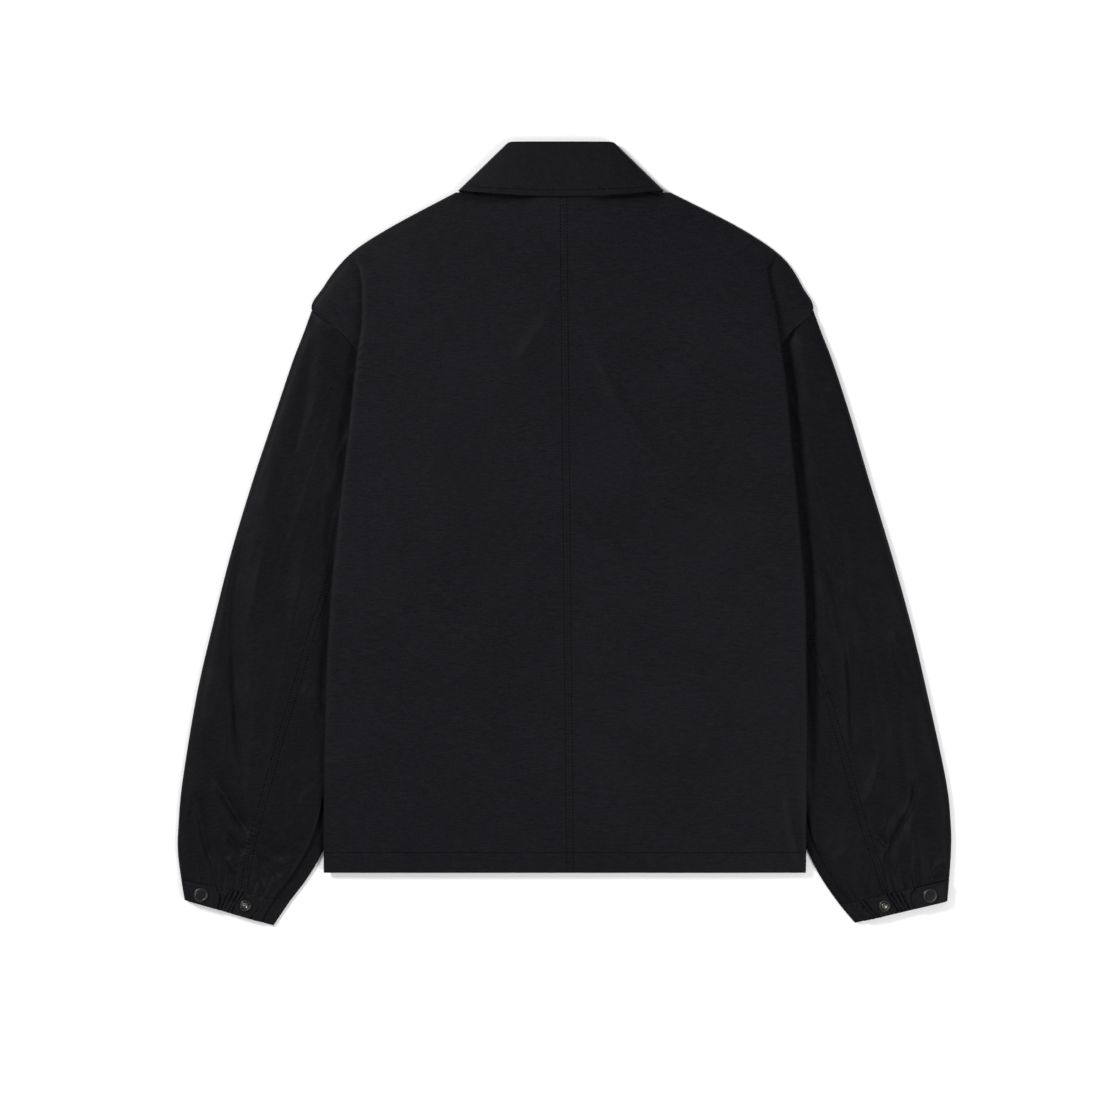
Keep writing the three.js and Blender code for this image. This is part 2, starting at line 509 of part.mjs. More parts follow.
// Caps of the front closure lie on the surface, under the outer front.
function frontSnaps() {
  const r = SNAP_CAP_RADIUS;
  const height = SNAP_LIFT - SEAM_GAP;
  const profile = [[0, 0], [r - 0.3, 0], [r, 0.3], [r, height - 0.3], [r - 0.3, height], [0, height]];
  const snaps = [];
  for (let i = 0; i < FRONT_SNAPS; i += 1) {
    const y = mix(LOWEST_SNAP_Y, HIGHEST_SNAP_Y, i / (FRONT_SNAPS - 1));
    snaps.push(turned(`front_snap_${i + 1}`, profile, 0, y, 0));
  }
  return snaps;
}

// The collar's ring, from the left front round the back to the right front. Share is -1 to 1
// across it, and layer is 1 on the back, 0 on the front and between them at a side fold.
function collarRing() {
  const ring = [];
  for (const share of [-0.03, -0.25, -0.5, -0.75, -0.93]) ring.push([share, 0]);
  ring.push([-0.99, 0.2], [-1, 0.5], [-0.99, 0.8]);
  for (let i = 0; i <= 12; i += 1) ring.push([mix(-0.94, 0.94, i / 12), 1]);
  ring.push([0.99, 0.8], [1, 0.5], [0.99, 0.2]);
  for (const share of [0.93, 0.75, 0.5, 0.25, 0.03]) ring.push([share, 0]);
  return ring;
}

// A point of the collar: down is 0 at the top fold and 1 at the free edge or the neck seam.
function collarPoint(share, layer, down, inner) {
  const bottomHalf = inner ? COLLAR.neckHalf : COLLAR.freeHalf;
  const half = mix(COLLAR.topHalf, bottomHalf, down) - HALF_WALL - (inner ? COLLAR.standGap : 0);
  const x = COLLAR.centreX + share * half;
  const plain = COLLAR.freeY + COLLAR.freeSideRise * share ** 2;
  const seam = NECK_Y + NECK_SEAM_GAP + backNeckRise(x);
  const backY = mix(COLLAR.topY - HALF_WALL, inner ? seam : plain, down);
  const point = inner ? 0 : COLLAR.pointLength * down * Math.exp(-(((Math.abs(share) - 0.3) / 0.25) ** 2));
  const drop = mix(FRONT_NECK_DROP * (1 - share ** 2), frontNeckDrop(x), inner ? down : 0);
  const frontY = backY - (1 - layer) * (drop + point);
  const backZ = mix(COLLAR.foldHeight, COLLAR.backHeight, down)
    - mix(1.5, COLLAR.sideFall, down) * share ** 4 - (inner ? COLLAR.standGap : 0);
  const frontZ = inner ? FLOOR + COLLAR_LIFT + 0.2 : FLOOR;
  return V(x, frontY, mix(frontZ, backZ, layer));
}

function collarPieces() {
  const rows = [0.03, 0.25, 0.5, 0.75, 1];
  const piece = (inner) => {
    const top = collarRing().map(([share, layer]) => {
      const own = collarPoint(share, layer, 0, inner);
      const other = collarPoint(share, layer, 0, !inner);
      const away = own.clone().sub(other).setLength(TOP_FOLD_HALF_GAP);
      return own.clone().add(other).multiplyScalar(0.5).add(away);
    });
    const body = rows.map((down) => collarRing().map(([share, layer]) => (
      collarPoint(share, layer, down, inner)
    )));
    return [top, ...body];
  };
  return [wall("collar_fall", piece(false)), wall("collar_stand", piece(true))];
}

const group = new THREE.Group();
for (const side of [-1, 1]) {
  group.add(backPanel(side), frontPanel(side), ...sleevePieces(side));
  group.add(cuffBand(side), cuffTab(side), ...cuffSnaps(side));
}
group.add(...collarPieces(), ...frontSnaps());

export default group;
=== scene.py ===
# Cropped black nylon jacket laid flat, face down, seen from straight above.
# Cloth sizes are in millimetres, as in the model's own tables, and become metres when a mesh is made.
import math

import bpy
import numpy as np
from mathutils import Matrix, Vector


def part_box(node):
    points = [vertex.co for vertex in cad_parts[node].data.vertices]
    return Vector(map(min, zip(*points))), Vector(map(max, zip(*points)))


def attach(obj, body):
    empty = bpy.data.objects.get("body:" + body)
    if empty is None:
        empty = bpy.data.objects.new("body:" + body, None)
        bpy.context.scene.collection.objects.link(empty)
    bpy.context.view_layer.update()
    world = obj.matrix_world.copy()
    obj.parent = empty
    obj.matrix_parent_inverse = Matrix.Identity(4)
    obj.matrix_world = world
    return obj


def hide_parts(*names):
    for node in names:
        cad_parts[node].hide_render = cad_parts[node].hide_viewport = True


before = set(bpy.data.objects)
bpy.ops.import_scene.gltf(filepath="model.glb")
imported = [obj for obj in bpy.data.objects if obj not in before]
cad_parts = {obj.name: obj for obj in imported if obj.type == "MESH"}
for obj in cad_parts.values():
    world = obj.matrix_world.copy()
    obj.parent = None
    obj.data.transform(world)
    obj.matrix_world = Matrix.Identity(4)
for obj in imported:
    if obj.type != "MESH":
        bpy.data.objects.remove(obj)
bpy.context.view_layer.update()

MM = 0.001
HALF_WALL = 0.5
FLOOR = 0.6
SEAM_GAP = 0.3
VISIBLE_GAP = 0.1
SHARP_EDGE_DEGREES = 70

# Levels on the body, and where its side folds run out into the shoulders.
HEM_Y = -329.0
ARMPIT_Y = -12.0
SHOULDER_POINT_Y = 217.0
SHOULDER_BAND = 30
FOLD_ENDS_Y = 254.0
FOLD_ENDS_OVER = 26
NECK_Y = 331.0
FRONT_NECK_FROM_Y = 150

# Steps between rows, and shares across where a panel has its control points.
BACK_ROW_STEP = 2.6
FRONT_ROW_STEP = 5.5
BACK_SHARES = (0, 0.14, 0.28, 0.42, 0.56, 0.7, 0.82, 0.92)
SHOULDER_SHARES = (0, 0.14, 0.28, 0.42, 0.56, 0.7, 0.84, 1)
BACK_COUNTS = (14, 14, 14, 14, 14, 12, 10, 7, 4, 4, 5, 4, 3, 6, 4, 4)
BACK_TOP_COLUMNS = 112
SHOULDER_TURN = 8
FOLD_TURN = 1.8
TUCK_TURN_SHARE = 0.3
LARGEST_TURN = 2.2
BEND_SHARE = 0.3
LARGEST_BEND = 4

# Closure and neck of the fronts.
PLACKET_OVERLAP = 14.0
PLACKET_EASE = 20
PLACKET_SLOPE = 16
NECK_HALF = 108.0
FRONT_NECK_DROP = 78.0
COLLAR_LIFT = 2.0
COLLAR_LIFT_FROM = 110
COLLAR_LIFT_SLOPE = 50
SNAP_LIFT = 1.6
FRONT_EDGE_TURN = ((5.5, 0.0), (3.4, 0.08), (1.8, 0.25), (0.7, 0.6), (0.0, 1.0))
FLAT_TO_EDGE = 10

# Sleeves, cuffs and tabs: rows along a sleeve count from the armhole.
SLEEVE_ROWS = 211
CUFF_ROW = 11
CUFF_ROWS = 27
CUFF_WAVES = 9
CUFF_WAVE_HEIGHT = 0.8
CUFF_MIDDLE = 0.52
CUFF_PLEATS = (0.43, 0.47, 0.515, 0.55, 0.77, 0.81, 0.85, 0.9)
PLEAT_DEPTH = 2.6
PLEAT_HALF_SHARE = 0.006
SHALLOW_GATHERS = 0.35
FRONT_SEAM_SHARE = 0.5
ARMHOLE_FADE_ROWS = 5
OUTER_FOLD_START = 14
INNER_FOLD_START = 9
DEEPEST_LAP = 12
TAB_LIFT = 2.9
TAB_START_SHARE = 0.03
TAB_END_SHARE = 0.37
TAB_HALF = 0.47
TAB_ROUND_FROM = 0.7
TAB_LOW_ROUND_FROM = 0.92
TAB_EDGE_DROP = 0.35

# Creases: how far the soft side is wider, how sharp a crest is, and how deep those on sleeves are.
SOFT_SIDE = 2.0
CREST_POWER = 1.35
SLEEVE_FOLD_DEPTH = 1.5

# Puckers and other marks of the sewing: heights, and how far from the stitches they reach.
BACK_SEAM_PUCKERS = 0.16
BACK_SEAM_REACH = 9
BACK_SEAM_RAISED = 0.07
HEM_PUCKERS = 0.35
HEM_REACH = 5
HEM_GROOVE = 0.22
HEM_GROOVE_REACH = 1.6
ARMHOLE_PUCKERS = 0.8
ARMHOLE_REACH = 9
ARMHOLE_PUCKER_LENGTH = 8.5
ARMHOLE_PUCKERS_FROM_Y = 150
SLEEVE_SEAM_PUCKERS = 0.16
SLEEVE_SEAM_REACH = 7
SLEEVE_SEAM_RAISED = 0.08
SLEEVE_SEAM_BY_CUFF = {-1: 0.6, 1: 0.12}

# How far a sleeve sinks beside the body, by side, and how far from the body that reaches.
SLEEVE_DIP = {-1: 4.2, 1: 6.6}
SLEEVE_DIP_REACH = 17

# Distances from a seam or edge to its stitches, and radii of the snaps.
HEM_STITCH = 20.0
TWIN_STITCH = 3.2
EDGE_STITCH = 6.0
SNAP_CAP_RADIUS = 7.0
SOCKET_RADIUS = 5.5
FRONT_SNAPS = 5

# The photo's frame at the jacket's scale, in millimetres, and the camera and floor, in metres.
PHOTO_CENTRE_X = -4.6
PHOTO_CENTRE_Y = -25.5
PHOTO_WIDTH = 1086.4
CAMERA_DISTANCE = 4.0
CAMERA_BASE = 0.01
SENSOR_WIDTH = 36
FLOOR_HALF = 3.0
FLOOR_LEVEL = -0.0003

# Lamps: name, place and size in metres, and power in watts.
LAMPS = (("key", (-1.9, 1.1, 1.9), 0.9, 72), ("fill", (1.7, -1.1, 2.2), 1.6, 50))
WORLD_STRENGTH = 0.5

# Uneven waves in the cloth: height, size across, size along and seed.
BACK_RIPPLES = ((0.55, 62, 85, 3), (0.22, 21, 34, 5), (0.07, 7, 11, 8))
SLEEVE_RIPPLES = ((0.6, 38, 70, 21), (0.3, 16, 30, 25), (0.1, 6, 10, 29))
SLEEVE_RIDGES = ((1.1, 26, 150, 51), (0.6, 15, 80, 53))

# Where a cuff's gathers are deep: depth, share across and half width.
DEEP_GATHERS = ((1.1, 0.48, 0.09), (1.0, 0.83, 0.09))

# Body: level, half widths to the side folds, hidden pleat, half widths to the panel's seam, heights.
BODY_KEYS = ("y", "fold_left", "fold_right", "tuck", "edge_left", "edge_right",
             "crown", "fold", "under", "shelf", "rim", "front_rim")
BODY = np.array([
    (-329, 233.5, 233.6, 7, 229.5, 229.6, 9, 8.4, 5.4, 4.4, 3.6, 2.4),
    (-283, 233.5, 234.3, 14, 222.5, 223.3, 15, 13.5, 9.6, 7.6, 5.8, 4.4),
    (-200, 232.5, 235, 27, 208.5, 211, 19, 17, 12.8, 8.5, 6.4, 5),
    (-125, 230.6, 234.3, 40, 193.6, 197.3, 21, 17.5, 13, 8.5, 6.4, 5),
    (-58, 226.7, 233, 53, 176.7, 183, 22, 17.5, 13, 8.5, 6.4, 5),
    (-12, 222.2, 229.2, 60, 165.2, 172.2, 22, 17.5, 13, 8.6, 6.6, 4.6),
    (20, 219, 226.5, 57, 167, 174, 22, 17.5, 13, 9.2, 8.6, 2),
    (50, 215.5, 223.5, 53, 170, 177, 22, 17.5, 13, 9.4, 9.2, 0.6),
    (95, 210, 219, 42, 176, 184, 22, 17.5, 13, 9.4, 9.2, 0.6),
    (140, 205.3, 215, 29, 187, 196, 22, 17.5, 13, 9.4, 9.2, 0.6),
    (177, 201, 210, 16, 202, 208, 21.5, 17.5, 13.2, 9.4, 9.2, 0.6),
    (197, 197.6, 206.8, 10, 219.4, 221, 21, 17, 13.2, 9.4, 9, 0.8),
    (217, 196.3, 203.5, 8, 245.5, 241.2, 20.5, 16.5, 13, 9.4, 4.5, 0.6),
    (240, 196.5, 198, 5, 234, 230.8, 19.5, 15.5, 12.4, 9.4, 2.9, 0.6),
    (262, 198, 194, 2, 217.8, 217.2, 18, 13.5, 11, 8.6, 2.9, 0.6),
    (278, 188, 187, -2, 200.2, 199.5, 16.5, 10.5, 9.2, 7, 2.9, 0.6),
    (300, 152, 151, -3, 164.6, 164.2, 15, 9.6, 8.2, 6.2, 2.9, 0.6),
    (331, 93.5, 91, -3, 106.3, 103, 13, 8.6, 7.2, 5.4, 2.9, 0.6),
])

# Sleeves: outer fold, lower inner fold, set-back of the upper inner fold, height, back seam's share.
SLEEVE_KEYS = ("outer_x", "outer_y", "inner_x", "inner_y", "lap", "loft", "seam")
SLEEVES = {
    -1: np.array([
        (246, 217, 166.2, -12, 0, 9.2, 0.66), (254.2, 194, 172.5, -27, 1, 9.4, 0.66),
        (264.5, 167, 176.9, -42, 2, 9.6, 0.66), (281.6, 116, 182.5, -66, 3, 9.8, 0.66),
        (302.3, 54, 190.5, -98, 4, 9.8, 0.65), (323.4, -15.8, 201, -146, 6, 9.8, 0.63),
        (341.3, -86, 211.5, -196, 8, 9.6, 0.61), (357.4, -155.5, 220.5, -243, 10, 9.4, 0.58),
        (371.4, -240, 229.5, -293, 13, 9, 0.54), (375.4, -283, 240, -318, 14, 8.4, 0.53),
        (376, -308, 252.5, -338, 14.5, 8.4, 0.55), (372.8, -335, 267, -357, 15, 8.2, 0.58),
        (369.4, -355.5, 283, -380.5, 13, 7.6, 0.62),
    ]),
    1: np.array([
        (241.8, 217, 173.4, -12, 0, 9.2, 0.66), (250.2, 194, 179, -27, 1, 9.4, 0.66),
        (260.5, 167, 183.2, -42, 2, 9.6, 0.67), (277, 116, 189, -66, 3, 9.8, 0.69),
        (295.2, 54, 196.5, -98, 4, 9.8, 0.71), (316.4, -15.8, 205.5, -146, 5, 9.8, 0.7),
        (336, -86, 215.5, -196, 6, 9.6, 0.67), (352.4, -155.5, 224, -243, 7, 9.4, 0.64),
        (370.6, -240, 231, -293, 8, 9, 0.6), (375.2, -283, 240.5, -318, 9, 8.4, 0.58),
        (375.4, -308, 251.5, -338, 9.5, 8.4, 0.57), (373.6, -335, 267, -360, 10, 8.2, 0.58),
        (371.8, -356.8, 282, -378, 9, 7.6, 0.62),
    ]),
}

# Creases: from, to, bow to the side, half width, and height, where less than zero is a trough.
BACK_FOLDS = [
    (24, 178, 140, -16, 6, 9, 2.2), (-6, 222, -50, 156, 2, 7, 2.4),
    (10, 8, 205, -228, -14, 26, 2), (-4, 52, -44, -45, 4, 22, 1.5),
    (36, 150, 88, 60, 3, 4, 0.9), (-150, 20, -146, -110, 3, 3, -0.5), (-188, 40, -184, -60, 2, 3, -0.5),
    (-60, -20, -52, -110, -2, 3, -0.5), (30, -150, 110, -205, 8, 12, 0.9),
    (20, -190, -60, -240, 8, 14, 0.8),
    (20, 192, 100, 58, 4, 2.8, 1.9), (-112, 331, -16, 326, 0, 5, -4.6), (20, 326, 112, 331, 0, 5, -4.2),
    (218, -100, 231, -305, -3, 3.5, -0.9), (214, -240, 232, -334, 2, 2.8, -2),
    (14, 317, 48, 324, -3, 3, -0.8), (-100, 150, -135, 20, 6, 14, 0.8), (100, 230, 170, 190, 8, 14, 0.7),
]
SLEEVE_FOLDS = {
    -1: [
        (-316, 16, -309, -262, 9, 5, -4.4), (-286, 64, -311, -110, -4, 9, 1.1),
        (-307, 40, -320, -60, 2, 4.5, -1.2), (-330, -130, -330, -240, -4, 8, 1.4),
        (-252, 8, -278, -115, -4, 9, 1), (-226, 130, -219, 30, 5, 6, 0.8),
        (-240, 196, -254, 118, 2, 4, -1.4), (-233, 174, -213, 150, 1, 4, -1.2),
        (-248, 150, -262, 60, 3, 4, -1.2),
        (-215, 120, -226, 70, -3, 4, -1), (-222, 66, -232, -30, 3, 4, -1.2),
        (-344, -232, -303, -298, 1, 3.8, -4), (-357, -250, -340, -330, 3, 3.4, -3.2),
        (-331, -288, -308, -312, 2, 3, -2.6), (-326, -312, -318, -330, 1, 2.4, 2),
        (-239, -137, -257, -165, 1, 3, 1.6), (-237, -162, -244, -169, 1, 3, 1.4),
        (-300, -296, -268, -318, 2, 4.4, -2), (-300, -305, -292, -346, 1, 3.4, -2.4),
        (-292, -312, -274, -335, 2, 4, -2), (-238, -232, -266, -262, 2, 3, -1.2),
        (-270, -60, -262, -130, 3, 8, -1.2), (-345, -120, -352, -220, 3, 10, 1.2),
    ],
    1: [
        (253, -20, 270, -116, -2, 4, -1.8), (273, -90, 279, -224, -2, 4, -3.6),
        (348, -228, 334, -280, 2, 3.2, -2.8), (340, -262, 308, -330, 3, 3.8, -3.8),
        (262, -10, 267, -90, -3, 4, -1.2), (284, -60, 292, -130, 3, 5, -1), (276, 20, 290, -90, 4, 6, 1.6),
        (222, 205, 236, 100, -3, 8, 1.8), (318, -87, 330, -150, 2, 4, -2.4),
        (303, -206, 286, -267, -7, 3.6, -1.8), (250, -300, 282, -306, 0, 5, -0.8),
        (292, -294, 258, -318, 0, 5, -1.2), (302, -290, 314, -306, 1, 2.4, -2.2),
        (372, -318, 352, -338, 1, 3, -2.2),
        (216, 254, 231, 218, 1, 3, -2.4), (256, 146, 261, 111, 1, 5, -1.2), (240, 60, 262, -60, 3, 3, -2),
        (322, -262, 302, -312, 2, 5, 1.6), (292, 20, 318, -90, 6, 12, 1.5),
        (345, -130, 352, -230, 3, 10, 1.2), (250, -40, 258, -120, 2, 9, 1.4),
    ],
}


def smooth(value):
    t = np.clip(value, 0, 1)
    return t * t * (3 - 2 * t)


def mix(a, b, share):
    return a + (b - a) * share


def column(table, keys, name, at, key=None):
    """A table's column at any level or row number, by a smooth curve through its rows."""
    xs = np.arange(len(table), dtype=float) if key is None else table[:, keys.index(key)]
    ys = table[:, keys.index(name)]
    at = np.asarray(at, dtype=float)
    i = np.clip(np.searchsorted(xs, at, side="right") - 1, 0, len(xs) - 2)
    last = len(xs) - 1

    def slope(k):
        low, high = np.maximum(k - 1, 0), np.minimum(k + 1, last)
        return (ys[high] - ys[low]) / (xs[high] - xs[low])

    span = xs[i + 1] - xs[i]
    t = np.clip((at - xs[i]) / span, 0, 1)
    rise = (t**3 - 2 * t**2 + t) * slope(i) + (t**3 - t**2) * slope(i + 1)
    return mix(ys[i], ys[i + 1], smooth(t)) + rise * span


def body_at(name, y):
    return column(BODY, BODY_KEYS, name, y, "y")


def fold_height(folds, x, y):
    """Height that a table of creases adds at points in plan, crisp on one side and soft on the other."""
    height = np.zeros(np.broadcast(x, y).shape)
    for from_x, from_y, to_x, to_y, bow, reach, rise in folds:
        along_x, along_y = to_x - from_x, to_y - from_y
        length = math.hypot(along_x, along_y)
        share = ((x - from_x) * along_x + (y - from_y) * along_y) / length**2
        aside = ((x - from_x) * along_y - (y - from_y) * along_x) / length
        bend = bow * (1 - (2 * share - 1) ** 2)
        fade = smooth(share / 0.3) * smooth((1 - share) / 0.3)
        away = (aside - bend) / reach
        away = np.where(away > 0, away, away / SOFT_SIDE)
        height += rise * fade * np.exp(-np.abs(away) ** CREST_POWER)
    return height


def hump(value, middle, half):
    """A bell curve that is 1 in the middle."""
    return np.exp(-(((value - middle) / half) ** 2))


def lattice(ix, iy, seed):
    """Repeatable noise in -1 to 1 at whole-number points."""
    value = np.sin(ix * 127.1 + iy * 311.7 + seed * 74.7) * 43758.5453
    return 2 * (value - np.floor(value)) - 1


def ripple(x, y, size_x, size_y, seed):
    """Smooth uneven waves of about the given sizes, from -1 to 1."""
    u, v = x / size_x, y / size_y
    ix, iy = np.floor(u), np.floor(v)
    fx, fy = smooth(u - ix), smooth(v - iy)
    low = mix(lattice(ix, iy, seed), lattice(ix + 1, iy, seed), fx)
    high = mix(lattice(ix, iy + 1, seed), lattice(ix + 1, iy + 1, seed), fx)
    return mix(low, high, fy)


def ripples(table, x, y, seed=0):
    """Sum of the waves in a table of heights, sizes and seeds."""
    return sum(height * ripple(x, y, across, along, own + seed) for height, across, along, own in table)


def control_net(points, like):
    """Control points, given as values or arrays, as one array with a row for each value of like."""
    return np.stack([np.stack([np.broadcast_to(v, like.shape) for v in point], axis=1) for point in points],
                    axis=1)


def curve_through(net, counts):
    """Each row of a net of control points becomes a smooth line, with counts[i] steps in span i."""
    first = 2 * net[:, :1] - net[:, 1:2]
    last = 2 * net[:, -1:] - net[:, -2:-1]
    p = np.concatenate([first, net, last], axis=1)
    steps = np.sqrt(np.linalg.norm(np.diff(p[:, :, :2], axis=1), axis=2)) + 1e-4
    t = np.concatenate([np.zeros((len(p), 1)), np.cumsum(steps, axis=1)], axis=1)[:, :, None]
    out = []
    for i, count in enumerate(counts):
        p0, p1, p2, p3 = (p[:, i + k] for k in range(4))
        t0, t1, t2, t3 = (t[:, i + k] for k in range(4))
        for step in range(count):
            at = t1 + (t2 - t1) * step / count
            a1 = ((t1 - at) * p0 + (at - t0) * p1) / (t1 - t0)
            a2 = ((t2 - at) * p1 + (at - t1) * p2) / (t2 - t1)
            a3 = ((t3 - at) * p2 + (at - t2) * p3) / (t3 - t2)
            b1 = ((t2 - at) * a1 + (at - t0) * a2) / (t2 - t0)
            b2 = ((t3 - at) * a2 + (at - t1) * a3) / (t3 - t1)
            out.append(((t2 - at) * b1 + (at - t1) * b2) / (t2 - t1))
    out.append(p[:, -2])
    return np.stack(out, axis=1)


def normals(grid):
    across = np.gradient(grid, axis=1)
    along = np.gradient(grid, axis=0)
    n = np.cross(across, along)
    return n / np.maximum(np.linalg.norm(n, axis=2, keepdims=True), 1e-9)


def add_mesh(name, points, faces, material, node=None):
    mesh = bpy.data.meshes.new(name)
    mesh.from_pydata((np.asarray(points) * MM).tolist(), [], faces)
    mesh.update()
    piece = bpy.data.objects.new(name, mesh)
    bpy.context.scene.collection.objects.link(piece)
    piece.data.materials.append(material)
    for polygon in mesh.polygons:
        polygon.use_smooth = True
    mesh.set_sharp_from_angle(angle=math.radians(SHARP_EDGE_DEGREES))
    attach(piece, "root")
    if node:
        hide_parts(node)
    return piece


def shell(name, grid, material, node, half=HALF_WALL):
    """A closed thin shell on a grid of middle points."""
    rows, cols = grid.shape[:2]
    n = normals(grid)
    both = np.concatenate([(grid + n * half).reshape(-1, 3), (grid - n * half).reshape(-1, 3)])
    both[:, 2] = np.maximum(both[:, 2], 0)
    at = np.arange(rows * cols).reshape(rows, cols)
    low = at + rows * cols
    a, b, c, d = at[:-1, :-1], at[:-1, 1:], at[1:, 1:], at[1:, :-1]
    top = np.stack([a, b, c, d], axis=2).reshape(-1, 4)
    under = np.stack([a, d, c, b], axis=2).reshape(-1, 4) + rows * cols
    rims = []
    for upper, lower in ((at[0], low[0]), (at[-1][::-1], low[-1][::-1]),
                         (at[:, 0][::-1], low[:, 0][::-1]), (at[:, -1], low[:, -1])):
        rims.append(np.stack([upper[:-1], lower[:-1], lower[1:], upper[1:]], axis=1))
    faces = np.concatenate([top, under, *rims]).tolist()
    return add_mesh(name, both, faces, material, node)


def side_name(side):
    return "left" if side < 0 else "right"


def centre_seam_x(y):
    return mix(5.1, -1.4, (y - HEM_Y) / (NECK_Y - HEM_Y))


def front_neck_drop(x):
    return FRONT_NECK_DROP * np.maximum(0, 1 - (x / NECK_HALF) ** 2)


def body_rows(step):
    return np.linspace(HEM_Y, NECK_Y, int((NECK_Y - HEM_Y) / step) + 1)


def back_net(side, y):
    """Control points of a back panel: distance from the middle, height, and how much it creases."""
    name = side_name(side)
    fold, edge = body_at(f"fold_{name}", y), body_at(f"edge_{name}", y) - SEAM_GAP / 2
    tuck, crown, top = (body_at(key, y) for key in ("tuck", "crown", "fold"))
    under, shelf, rim = (body_at(key, y) for key in ("under", "shelf", "rim"))
    start = side * centre_seam_x(y) + VISIBLE_GAP / 2
    turn = np.minimum(np.maximum(tuck, 0) * TUCK_TURN_SHARE, LARGEST_TURN)
    spread = np.minimum(tuck, 0) * TUCK_TURN_SHARE
    inner = fold - tuck
    bend = np.minimum(LARGEST_BEND, BEND_SHARE * (edge - inner - FOLD_TURN))
    shoulder = y > SHOULDER_POINT_Y - SHOULDER_BAND
    half_drop = np.where(shoulder, 0.08, 0.4)
    edge_drop = np.where(shoulder, 0.45, 0.75)
    net = [(mix(start, fold - 3, share), mix(crown, top, share**2), 1.0) for share in BACK_SHARES]
    net += [(fold - FOLD_TURN, top - 0.3, 0.4), (fold, mix(top, under, 0.5), 0.0),
            (fold - turn - spread, under + 0.3, 0.0), (inner + turn + spread, under - 0.3, 0.0),
            (inner, mix(under, shelf, 0.5), 0.0), (inner + FOLD_TURN, shelf, 0.0),
            (mix(inner + FOLD_TURN, edge, 0.5), mix(shelf, rim, half_drop), 0.6 * shoulder),
            (edge - bend, mix(shelf, rim, edge_drop), 0.2 * shoulder), (edge, rim, 0.0)]
    plain = [(mix(start, edge - SHOULDER_TURN, share), mix(crown, rim + 6, share**2), 1.0)
             for share in SHOULDER_SHARES]
    for angle in np.linspace(0.15, 1, len(net) - len(plain)) * math.pi / 2:
        plain.append((edge - SHOULDER_TURN + SHOULDER_TURN * np.sin(angle), rim + 5.8 * np.cos(angle),
                      0.4 * np.cos(angle)))
    folds_end = smooth((y - FOLD_ENDS_Y) / FOLD_ENDS_OVER)[:, None, None]
    return mix(control_net(net, y), control_net(plain, y), folds_end)


def raised_seam(from_seam, height):
    """What is turned in lifts the cloth a little between twin stitches."""
    return height * smooth((TWIN_STITCH + 0.9 - np.abs(from_seam)) / 1.6)


def back_relief(x, y):
    """Creases, waves, seam and hem marks of a back panel, as height over its smooth form."""
    from_seam = np.abs(x - centre_seam_x(y))
    from_hem_stitch = y - HEM_Y - HEM_STITCH
    height = fold_height(BACK_FOLDS, x, y) + ripples(BACK_RIPPLES, x, y)
    height = height + BACK_SEAM_PUCKERS * hump(from_seam, 0, BACK_SEAM_REACH) * ripple(x, y, 14, 6, 12)
    height = height + raised_seam(from_seam, BACK_SEAM_RAISED)
    height = height + HEM_PUCKERS * hump(from_hem_stitch, 0, HEM_REACH) * ripple(x, y, 9, 30, 17)
    return height - HEM_GROOVE * hump(from_hem_stitch, 0, HEM_GROOVE_REACH)


def armhole_puckers(name, x, y):
    """Short gathers where a back panel meets the top of a sleeve."""
    from_edge = np.abs(np.abs(x) - body_at(f"edge_{name}", y))
    near = np.exp(-from_edge / ARMHOLE_REACH) * smooth((y - ARMHOLE_PUCKERS_FROM_Y) / 15)
    near = near * smooth((SHOULDER_POINT_Y - y) / 8)
    return ARMHOLE_PUCKERS * near * np.sin((y + 0.6 * np.abs(x)) * 2 * math.pi / ARMHOLE_PUCKER_LENGTH)


def back_grid(side):
    """Middle surface of a back panel: over the side fold, under it, and out to the panel's seam."""
    y = body_rows(BACK_ROW_STEP)
    name = side_name(side)
    line = curve_through(back_net(side, y), BACK_COUNTS)
    x, z, upper = side * line[:, :, 0], line[:, :, 1], line[:, :, 2]
    rows = np.broadcast_to(y[:, None], x.shape)
    z = z + upper * back_relief(x, rows) + armhole_puckers(name, x, rows)
    return np.stack([x, rows, z], axis=2)


def front_lift(side, x, y):
    """How far the collar and the snaps hold a front off the surface."""
    from_neck = y - (NECK_Y - front_neck_drop(x))
    over_collar = COLLAR_LIFT * smooth((from_neck + COLLAR_LIFT_FROM) / COLLAR_LIFT_SLOPE)
    over_snaps = SNAP_LIFT * smooth((PLACKET_OVERLAP + PLACKET_EASE - side * x) / PLACKET_SLOPE)
    if side < 0:
        outer = SNAP_LIFT * smooth((x + PLACKET_OVERLAP + PLACKET_EASE) / PLACKET_SLOPE)
        return np.maximum(over_collar, outer)
    return np.maximum(over_collar, over_snaps) + over_snaps


